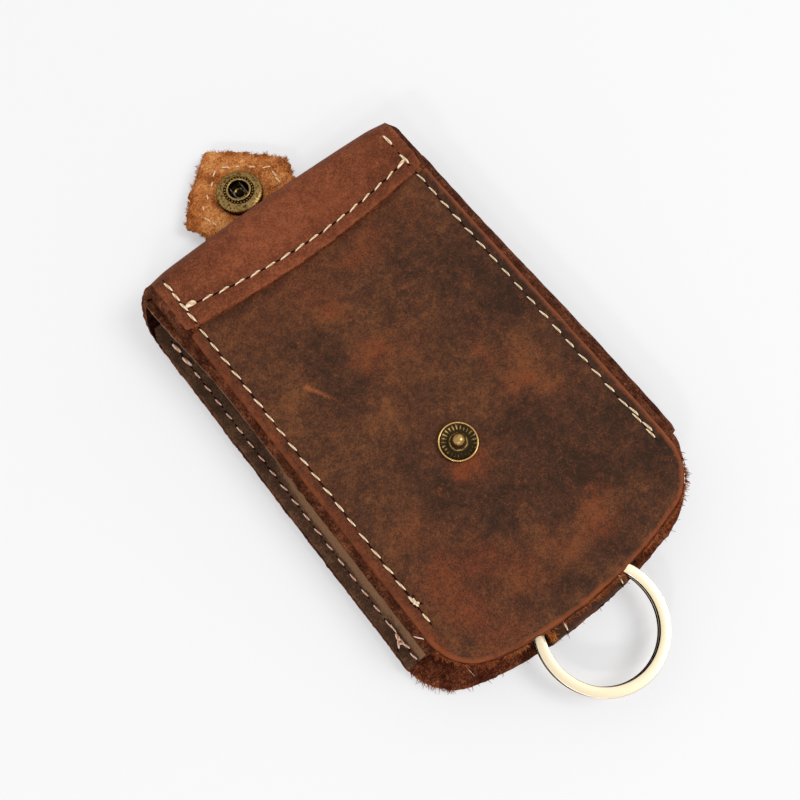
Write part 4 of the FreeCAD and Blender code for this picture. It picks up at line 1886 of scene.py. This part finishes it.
@dataclass
class SnapStud:
    """Snap stud on the front: a dished disc with radial ribs, a bright rim and a ball."""

    finishes: Finishes
    y: float = -67.8
    level: float = 14.6
    rim_r: float = 4.55
    rim_h: float = 0.9
    dish_h: float = 0.45
    hub_r: float = 2.2
    neck_r: float = 1.2
    ball_r: float = 1.65
    height: float = 3.6
    ribs: int = 25
    rib_h: float = 0.14
    glint_from: float = 75.0

    def profile(self) -> list[tuple[float, float, float]]:
        """Draws half a section, from the top of the ball to the foot of the rim.

        Returns:
            Radius, height and polish of each point.
        """
        ball_z = self.height - self.ball_r
        ball = []
        for step in range(9):
            angle = math.radians(90 - step * 16)
            radius = self.ball_r * math.cos(angle)
            ball.append((radius, ball_z + self.ball_r * math.sin(angle), 0.4 - 0.04 * step))
        hub, rim, dish_h, rim_h = self.hub_r, self.rim_r, self.dish_h, self.rim_h
        return ball + [
            (self.neck_r + 0.1, rim_h - 0.1, -0.2),
            (hub - 0.55, rim_h - 0.15, -0.1),
            (hub - 0.2, rim_h - 0.2, 0.25),
            (hub, dish_h, -0.2),
            (hub + 0.2, dish_h, -0.2),
            (rim - 1.2, dish_h + 0.04, -0.15),
            (rim - 0.6, rim_h - 0.3, -0.1),
            (rim - 0.42, rim_h - 0.1, 0.2),
            (rim - 0.34, rim_h, 0.8),
            (rim - 0.14, rim_h, 0.9),
            (rim, rim_h - 0.2, 0.5),
            (rim, 0.0, 0.2),
            (0.0, 0.0, 0.2),
        ]

    def build(self) -> None:
        """Makes and dresses the stud, and gives its post the antique brass."""
        centre = Vector((STRAP_X, self.y, self.level))
        bm = turned_shape(self.profile(), centre, self.ribs * 6)
        polish = bm.verts.layers.float["polish"]
        for vert in bm.verts:
            arm = vert.co - centre
            radius = math.hypot(arm.x, arm.y)
            if self.hub_r + 0.1 < radius < self.rim_r - 0.6 and arm.z > 0.1:
                turn = math.atan2(arm.y, arm.x)
                crest = max(0.0, math.cos(self.ribs * turn))
                crest *= smooth(self.hub_r, self.rim_r - 1.0, radius)
                # Rib crests are made brighter on one side: a painted reflection added to their polish
                rubbed = 0.6 + 0.4 * math.cos(turn - math.radians(self.glint_from))
                vert.co.z += self.rib_h * crest
                vert[polish] += 0.75 * crest * rubbed
        piece = make_piece(bm, "snap_stud_brass", [self.finishes.worn])
        settle(piece, Body.CASE, Slot.SNAP, "snap_stud")
        dress_node("stud_post", self.finishes.brass, Slot.SNAP)


@dataclass
class SnapSocket:
    """Snap socket on the tab: a toothed rim, a ring of dots, a bead round the hole and the cap."""

    finishes: Finishes
    y: float = 17.4
    level: float = 3.9
    outer_r: float = 5.9
    rim_h: float = 1.9
    height: float = 2.9
    bore_r: float = 2.6
    floor: float = 0.5
    floor_r: float = 1.3
    teeth: int = 56
    tooth: float = 0.16
    dots: int = 28
    dot_r: float = 0.22
    dot_set: float = 0.86
    cap_r: float = 6.2
    cap_h: float = 1.6
    cap_rim_h: float = 0.5
    leather: float = 1.6

    def socket_profile(self) -> list[tuple[float, float, float]]:
        """Draws half a section of the socket, from its floor over the bead and the rim.

        Returns:
            Radius, height and polish of each point.
        """
        bore, outer, top, rim = self.bore_r, self.outer_r, self.height, self.rim_h
        start = (self.floor_r, self.floor, -0.2)
        return [
            start,
            (bore, self.floor, -0.2),
            (bore, top - 0.7, -0.2),
            (bore - 0.05, top - 0.25, 0.1),
            (bore + 0.12, top - 0.04, 0.6),
            (bore + 0.3, top, 0.7),
            (bore + 0.5, top - 0.12, 0.4),
            (bore + 0.62, top - 0.45, -0.5),
            (bore + 1.1, top - 0.55, -0.5),
            (bore + 1.3, top - 0.55, 0.35),
            (outer - 0.9, top - 0.75, 0.35),
            (outer - 0.35, rim - 0.05, 0.45),
            (outer - 0.1, rim - 0.2, 0.5),
            (outer, rim - 0.5, 0.3),
            (outer, 0.25, 0.0),
            (outer - 0.2, 0.0, 0.0),
            (self.floor_r, 0.0, 0.0),
            start,
        ]

    def socket(self) -> None:
        """Makes and dresses the socket."""
        centre = Vector((STRAP_X, self.y, self.level))
        bm = turned_shape(self.socket_profile(), centre, self.teeth * 4)
        polish = bm.verts.layers.float["polish"]
        for vert in bm.verts:
            arm = vert.co - centre
            if math.hypot(arm.x, arm.y) > self.outer_r - 0.3 and arm.z > 0.2:
                notch = max(0.0, math.cos(self.teeth * math.atan2(arm.y, arm.x)))
                vert.co -= Vector((arm.x, arm.y, 0)) * (self.tooth * notch / self.outer_r)
                vert[polish] -= 0.4 * notch
        ring = self.bore_r + self.dot_set
        for i in range(self.dots):
            turn = math.tau * i / self.dots
            spot = Vector((ring * math.cos(turn), ring * math.sin(turn), self.height - 0.56))
            place = Matrix.Translation(centre + spot)
            dot = bmesh.ops.create_uvsphere(
                bm, u_segments=8, v_segments=5, radius=self.dot_r, matrix=place
            )
            for vert in dot["verts"]:
                vert[polish] = 0.9
        piece = make_piece(bm, "snap_socket_brass", [self.finishes.brass])
        settle(piece, Body.TAB, Slot.SNAP, "snap_socket")

    def cap(self) -> None:
        """Makes and dresses the domed cap under the tab, with its stem curled in the socket."""
        dome_h = self.cap_h - self.cap_rim_h
        radius = (self.cap_r**2 + dome_h**2) / (2 * dome_h)
        half_angle = math.asin(self.cap_r / radius)
        dome = []
        for step in range(9):
            angle = half_angle * step / 8
            low = -self.cap_h + radius * (1 - math.cos(angle))
            dome.append((radius * math.sin(angle), low, 0.6 + 0.03 * step))
        profile = dome + [
            (self.cap_r, -0.2, 0.6),
            (self.cap_r - 0.2, 0.0, 0.2),
            (1.2, 0.0, 0.1),
            (1.2, 2.1, -0.1),
            (1.9, 2.15, 0.0),
            (1.8, 2.45, 0.3),
            (1.2, 2.5, 0.3),
            (0.9, 1.95, -0.4),
            (0.0, 1.85, -0.4),
        ]
        centre = Vector((STRAP_X, self.y, self.level - self.leather))
        piece = make_piece(turned_shape(profile, centre, 64), "snap_cap_brass", [self.finishes.brass])
        settle(piece, Body.TAB, Slot.SNAP, "snap_cap")

    def build(self) -> None:
        """Makes and dresses the socket, its cap and its spring."""
        self.socket()
        self.cap()
        dress_node("socket_spring", self.finishes.steel, Slot.SPRING)


@dataclass
class SplitRing:
    """Split ring: two turns of flat wire with soft edges and one step between them."""

    finishes: Finishes
    y: float = -117.44
    outer_r: float = 15.0
    wire_w: float = 2.4
    wire_t: float = 1.4
    under: float = 4.2
    turn_gap: float = 0.1
    step_angle: float = 16.0
    step_turn: float = 140.0
    edge: float = 0.22
    polish: float = 0.45

    def wire_end(self) -> BMesh:
        """Makes the soft-edged section of the wire at the start of its lower turn.

        Returns:
            The mesh in millimetres, one face.
        """
        bm = bmesh.new()
        bmesh.ops.create_grid(bm, x_segments=1, y_segments=1, size=0.5)
        bmesh.ops.scale(bm, vec=(self.wire_w, self.wire_t, 1), verts=bm.verts)
        corners = bm.verts[:]
        soft = {"offset": self.edge, "segments": 3, "profile": 0.5}
        bmesh.ops.bevel(bm, geom=corners, affect="VERTICES", material=-1, **soft)
        upright = Matrix.Rotation(math.radians(90), 4, "X")
        out = Matrix.Translation((self.outer_r - self.wire_w / 2, 0, self.wire_t / 2))
        begin = Matrix.Rotation(math.radians(self.step_turn + self.step_angle / 2), 4, "Z")
        where = Matrix.Translation((STRAP_X, self.y, self.under)) @ begin @ out @ upright
        bmesh.ops.transform(bm, matrix=where, verts=bm.verts)
        return bm

    def build(self) -> None:
        """Makes and dresses the ring."""
        centre = Vector((STRAP_X, self.y, self.under))
        bm = self.wire_end()
        flat_turn = (360 - self.step_angle, 120, 0.0)
        step_up = (self.step_angle, 8, self.wire_t + self.turn_gap)
        end = bm.faces[:]
        for degrees, steps, climb in (flat_turn, step_up, flat_turn):
            rise, angle = UP * (climb / steps), math.radians(degrees)
            spun = bmesh.ops.spin(
                bm, geom=end, cent=centre, axis=UP, dvec=rise, angle=angle, steps=steps
            )
            end = [item for item in spun["geom_last"] if isinstance(item, BMFace)]
        bmesh.ops.recalc_face_normals(bm, faces=bm.faces)
        polish = bm.verts.layers.float.new("polish")
        for face in bm.faces:
            # Flat faces take the gilt; the wire's edge faces take a painted dark reflection
            face.material_index = 0 if abs(face.normal.z) > 0.35 else 1
        for vert in bm.verts:
            vert[polish] = self.polish
        piece = make_piece(bm, "key_ring_gilt", [self.finishes.gilt, self.finishes.painted_dark_edge])
        settle(piece, Body.RING, Slot.RING, "key_ring")


# Loose fibres


@dataclass
class LooseFibres:
    """Single fibres that stand out of the raw edges."""

    finishes: Finishes
    back: BackPanel
    front: FrontPanel
    strap: Strap
    seed: int = 3
    thickness: float = 0.3
    floor_gap: float = 0.05
    mouth_count: int = 200
    front_count: int = 1500
    loop_count: int = 60
    tab_count: int = 1500
    tuft_count: int = 18
    tufts_left: tuple[float, ...] = (4.6, 8.6, 9.6, 12.4, 13.6, 17.2, 20.4)
    tufts_right: tuple[float, ...] = (5.2, 9.0, 13.0, 16.2, 19.6)

    @staticmethod
    def fibre_shape() -> Mesh:
        """Makes a curved, tapering fibre of unit length along X.

        Returns:
            The shape.
        """
        bm = bmesh.new()
        ring = bmesh.ops.create_circle(bm, cap_ends=False, segments=3, radius=0.5)["verts"]
        bmesh.ops.rotate(bm, verts=ring, matrix=Matrix.Rotation(math.radians(90), 3, "Y"))
        edges = bm.edges[:]
        for _ in range(4):
            made = bmesh.ops.extrude_edge_only(bm, edges=edges)["geom"]
            verts = [item for item in made if isinstance(item, BMVert)]
            edges = [item for item in made if isinstance(item, BMEdge)]
            edges = [edge for edge in edges if all(vert in verts for vert in edge.verts)]
            bmesh.ops.translate(bm, verts=verts, vec=(0.25, 0, 0))
            middle = sum((vert.co for vert in verts), Vector()) / 3
            for vert in verts:
                vert.co = middle + (vert.co - middle) * 0.72
        for vert in bm.verts:
            vert.co.z += 2.2 * vert.co.x**2
        bmesh.ops.recalc_face_normals(bm, faces=bm.faces)
        return keep_shape(bm, "fibre_shape")

    def tuft(
        self, roots: Iterator[Root], lengths: tuple[float, float], name: str, finish: Material
    ) -> Object:
        """Sets fibres at given roots.

        Args:
            roots: Root and outward direction of each fibre.
            lengths: Shortest and longest fibre.
            name: Name of the piece.
            finish: Its material.

        Returns:
            The piece.
        """
        chance = random.Random(self.seed)
        shape = self.fibre_shape()
        bm = bmesh.new()
        for root, out in roots:
            lean = Vector((chance.uniform(-1, 1), chance.uniform(-1, 1), chance.uniform(-0.5, 0.6)))
            length = lengths[0] + (lengths[1] - lengths[0]) * chance.random() ** 2
            up = Vector((chance.uniform(-1, 1), chance.uniform(-1, 1), chance.uniform(-1, 1)))
            matrix = axes(root, out + 0.8 * lean, up, (length, self.thickness, self.thickness))
            stamp(bm, shape, matrix)
        for vert in bm.verts:
            vert.co.z = max(vert.co.z, self.floor_gap)
        bpy.data.meshes.remove(shape)
        return make_piece(bm, name, [finish])

    @staticmethod
    def mouth_edge(panel: LeatherSheet, u: float, fall: float) -> Root:
        """Finds a place on a panel's mouth.

        Args:
            panel: The panel.
            u: Share of the way across it.
            fall: How much the direction points down.

        Returns:
            The point, and the direction out of the leather there.
        """
        here, inner = panel.spot_at(u, 0.0), panel.spot_at(u, 0.02)
        across = smooth(0.65, 1.0, abs(2 * u - 1)) * math.copysign(1.2, u - 0.5)
        return here, Vector((across, here.y - inner.y, -fall)).normalized()

    def mouth_roots(self) -> Iterator[Root]:
        """Goes along the back's mouth, close together at its left corner.

        Yields:
            Each root with its outward direction.
        """
        chance = random.Random(self.seed + 1)
        for _ in range(self.mouth_count):
            u = chance.random() if chance.random() < 0.3 else chance.uniform(0.02, 0.13)
            here, out = self.mouth_edge(self.back, u, 0.0)
            yield here + UP * chance.uniform(0.3, 1.8) - out * 0.2, out

    def front_roots(self) -> Iterator[Root]:
        """Goes along the front's mouth, in tufts, but not over the ring.

        Yields:
            Each root with its outward direction.
        """
        chance = random.Random(self.seed + 4)
        for _ in range(self.front_count):
            u = chance.uniform(0.03, 0.97)
            if waver(40 * u, 2, 0.9) < chance.uniform(-0.4, 0.4):
                continue
            here, out = self.mouth_edge(self.front, u, 0.3)
            if not 9.5 < abs(here.x - STRAP_X) < 16.0:
                yield here + UP * chance.uniform(-0.9, -0.2) + out * 0.5, out

    def loop_roots(self) -> Iterator[Root]:
        """Goes over the frayed flesh that stands out at the left end of the loop.

        Yields:
            Each root with its outward direction.
        """
        chance = random.Random(self.seed + 5)
        edge, end = STRAP_X - self.strap.half, self.strap.loop_end_y
        bend = (self.strap.loop_top - self.strap.under) / 2
        for _ in range(self.loop_count):
            x, y = edge + chance.uniform(0.1, 1.4), end + chance.uniform(1.0, 3.4)
            rise = math.sqrt(max(0.0, (bend - 0.05) ** 2 - (bend - (y - end)) ** 2))
            yield Vector((x, y, self.strap.under + bend + rise)), Vector((-0.2, -0.8, 0.5))

    def tab_roots(self) -> Iterator[Root]:
        """Goes along the tab's edge, first evenly and then in tufts.

        Yields:
            Each root with its outward direction.
        """
        strap, chance = self.strap, random.Random(self.seed + 2)
        for _ in range(self.tab_count):
            set_out = chance.uniform(1.0, strap.tip_set)
            side = chance.choice((-1, 1))
            x = STRAP_X + side * (strap.half_at(set_out, Side(side)) - 0.15)
            z = strap.under + strap.thickness * chance.uniform(0.3, 1.0)
            slope = 0.3 if set_out < strap.shoulder_set else 1.0
            yield Vector((x, strap.neck_y + set_out, z)), Vector((side, slope, 0.2)).normalized()
        tufts = [(place, -1) for place in self.tufts_left] + [(place, 1) for place in self.tufts_right]
        for set_out, side in tufts:
            slope = 0.3 if set_out < strap.shoulder_set else 1.0
            out = Vector((side, slope, 0.1)).normalized()
            for _ in range(self.tuft_count):
                place = set_out + chance.uniform(-0.35, 0.35)
                x = STRAP_X + side * strap.half_at(place, Side(side))
                root = Vector((x, strap.neck_y + place, strap.under + chance.uniform(0.6, 1.5)))
                yield root + out * chance.uniform(0.0, 0.7), out

    def build(self) -> None:
        """Makes and dresses the fibres."""
        # Both fibre finishes are painted lighter than their hide, a painted highlight
        fringe_highlight, fluff = self.finishes.fringe_highlight, self.finishes.fluff
        rows = [
            ("mouth_fibres", self.mouth_roots(), (0.4, 1.6), fringe_highlight, Body.CASE, Slot.BACK),
            ("front_fibres", self.front_roots(), (0.5, 1.3), fringe_highlight, Body.CASE, Slot.FRONT),
            ("loop_fibres", self.loop_roots(), (0.6, 1.4), fluff, Body.STRAP, Slot.STRAP),
            ("tab_fibres", self.tab_roots(), (0.3, 0.9), fluff, Body.TAB, Slot.SUEDE),
        ]
        for name, roots, lengths, finish, body, slot in rows:
            settle(self.tuft(roots, lengths, name, finish), body, slot)


# Studio


def seen_rays(tree: NodeTree) -> NodeSocket:
    """Finds the rays by which camera, metal and glass see the background.

    Args:
        tree: The node tree of the floor or the world.

    Returns:
        A socket that is 1 for such rays.
    """
    paths = add_node(tree, "LightPath").node.outputs
    seen = paths["Is Camera Ray"]
    for kind in ("Is Glossy Ray", "Is Transmission Ray"):
        seen = add_node(tree, "Math", {"operation": "MAXIMUM"}, {0: seen, 1: paths[kind]})
    return seen


@dataclass
class Studio:
    """Pale floor, soft light and the camera; places and sizes are in metres here."""

    floor_colour: str = "#f7f7f8"
    glow: float = 0.38
    ambient: float = 0.66
    lamps: tuple[tuple[str, tuple[float, float, float], float, float], ...] = (
        ("key_light", (1.18, -0.77, 1.75), 0.9, 18.2),
        ("left_glint", (-1.35, -0.9, 1.2), 0.18, 4.5),
        ("near_glint", (-0.8, -1.35, 1.2), 0.18, 3.0),
    )
    camera_at: tuple[float, float, float] = (-0.04132, -0.04621, 0.2073)
    camera_tilt: float = 16.205
    camera_turn: float = -38.493
    lens: float = 40.5
    sensor: float = 36.0
    near_clip: float = 0.005

    def floor(self) -> None:
        """Lays a plain floor just under the case."""
        bm = bmesh.new()
        bmesh.ops.create_grid(bm, x_segments=2, y_segments=2, size=3000)
        bmesh.ops.translate(bm, verts=bm.verts, vec=(0, 0, -0.05))
        # Matt painted board: even, with no gloss of its own
        material, tree, shader, where = new_material("matt_white_board")
        colour = linear(self.floor_colour)
        tooth = add_node(tree, "TexNoise", {"Scale": 1 / (0.8 * MM)}, {"Vector": where})
        relief = add_node(tree, "Bump", {"Strength": 0.05, "Distance": 0.05 * MM}, {"Height": tooth})
        settings = {"Base Color": colour, "Roughness": 0.9, "Specular IOR Level": 0.0}
        set_up(tree, shader, settings, {"Normal": relief})
        # Camera and mirrors see the floor nearly white, with a light shadow left on it
        glow = add_node(tree, "Emission", {"Color": colour})
        weight = {"operation": "MULTIPLY", 1: self.glow}
        share = add_node(tree, "Math", weight, {0: seen_rays(tree)})
        mix = add_node(tree, "MixShader", {}, {0: share, 1: shader.outputs[0], 2: glow})
        tree.links.new(mix, tree.nodes["Material Output"].inputs["Surface"])
        make_piece(bm, "floor", [material])

    def world(self) -> None:
        """Even ambient light; the camera and mirror-like surfaces see plain white."""
        world = bpy.data.worlds.new("studio")
        bpy.context.scene.world = world
        world.use_nodes = True
        tree = world.node_tree
        limits = {"To Min": self.ambient, "To Max": 1.0}
        strength = add_node(tree, "MapRange", limits, {"Value": seen_rays(tree)})
        set_up(tree, tree.nodes["Background"], {"Color": (1, 1, 1, 1)}, {"Strength": strength})

    @staticmethod
    def lamp(name: str, at: Sequence[float], size: float, power: float) -> None:
        """Hangs a square soft light that points at the case.

        Args:
            name: The light's name.
            at: Its place in metres.
            size: Its side in metres.
            power: Its power in watts.
        """
        data = bpy.data.lights.new(name, "AREA")
        data.size = size
        data.energy = power
        lamp = bpy.data.objects.new(name, data)
        lamp.location = at
        lamp.rotation_euler = (-Vector(at)).to_track_quat("-Z", "Y").to_euler()
        bpy.context.scene.collection.objects.link(lamp)

    def camera(self) -> None:
        """Sets the camera at the photograph's viewing angle."""
        data = bpy.data.cameras.new("camera")
        data.lens = self.lens
        data.sensor_width = self.sensor
        data.clip_start = self.near_clip
        camera = bpy.data.objects.new("camera", data)
        camera.location = self.camera_at
        camera.rotation_euler = (math.radians(self.camera_tilt), 0, math.radians(self.camera_turn))
        bpy.context.scene.collection.objects.link(camera)
        bpy.context.scene.camera = camera

    def build(self) -> None:
        """Sets up floor, light and camera."""
        self.floor()
        self.world()
        for lamp in self.lamps:
            self.lamp(*lamp)
        self.camera()
        bpy.context.scene.view_settings.view_transform = "Standard"


def main() -> None:
    """Dresses the key case piece by piece."""
    logging.basicConfig(level=logging.INFO, format="%(message)s")
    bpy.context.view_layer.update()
    finishes = Finishes()
    back, front, strap = BackPanel(finishes), FrontPanel(finishes), Strap(finishes)
    gussets = [Gusset(finishes, side=side) for side in Side]
    seams = [CaseSeams(finishes, back), StrapSeams(finishes, strap)]
    metal = [SnapStud(finishes), SnapSocket(finishes), SplitRing(finishes)]
    fibres = LooseFibres(finishes, back, front, strap)
    for assembly in (back, front, *gussets, strap, *seams, *metal, fibres, Studio()):
        assembly.build()


if __name__ == "__main__":
    main()
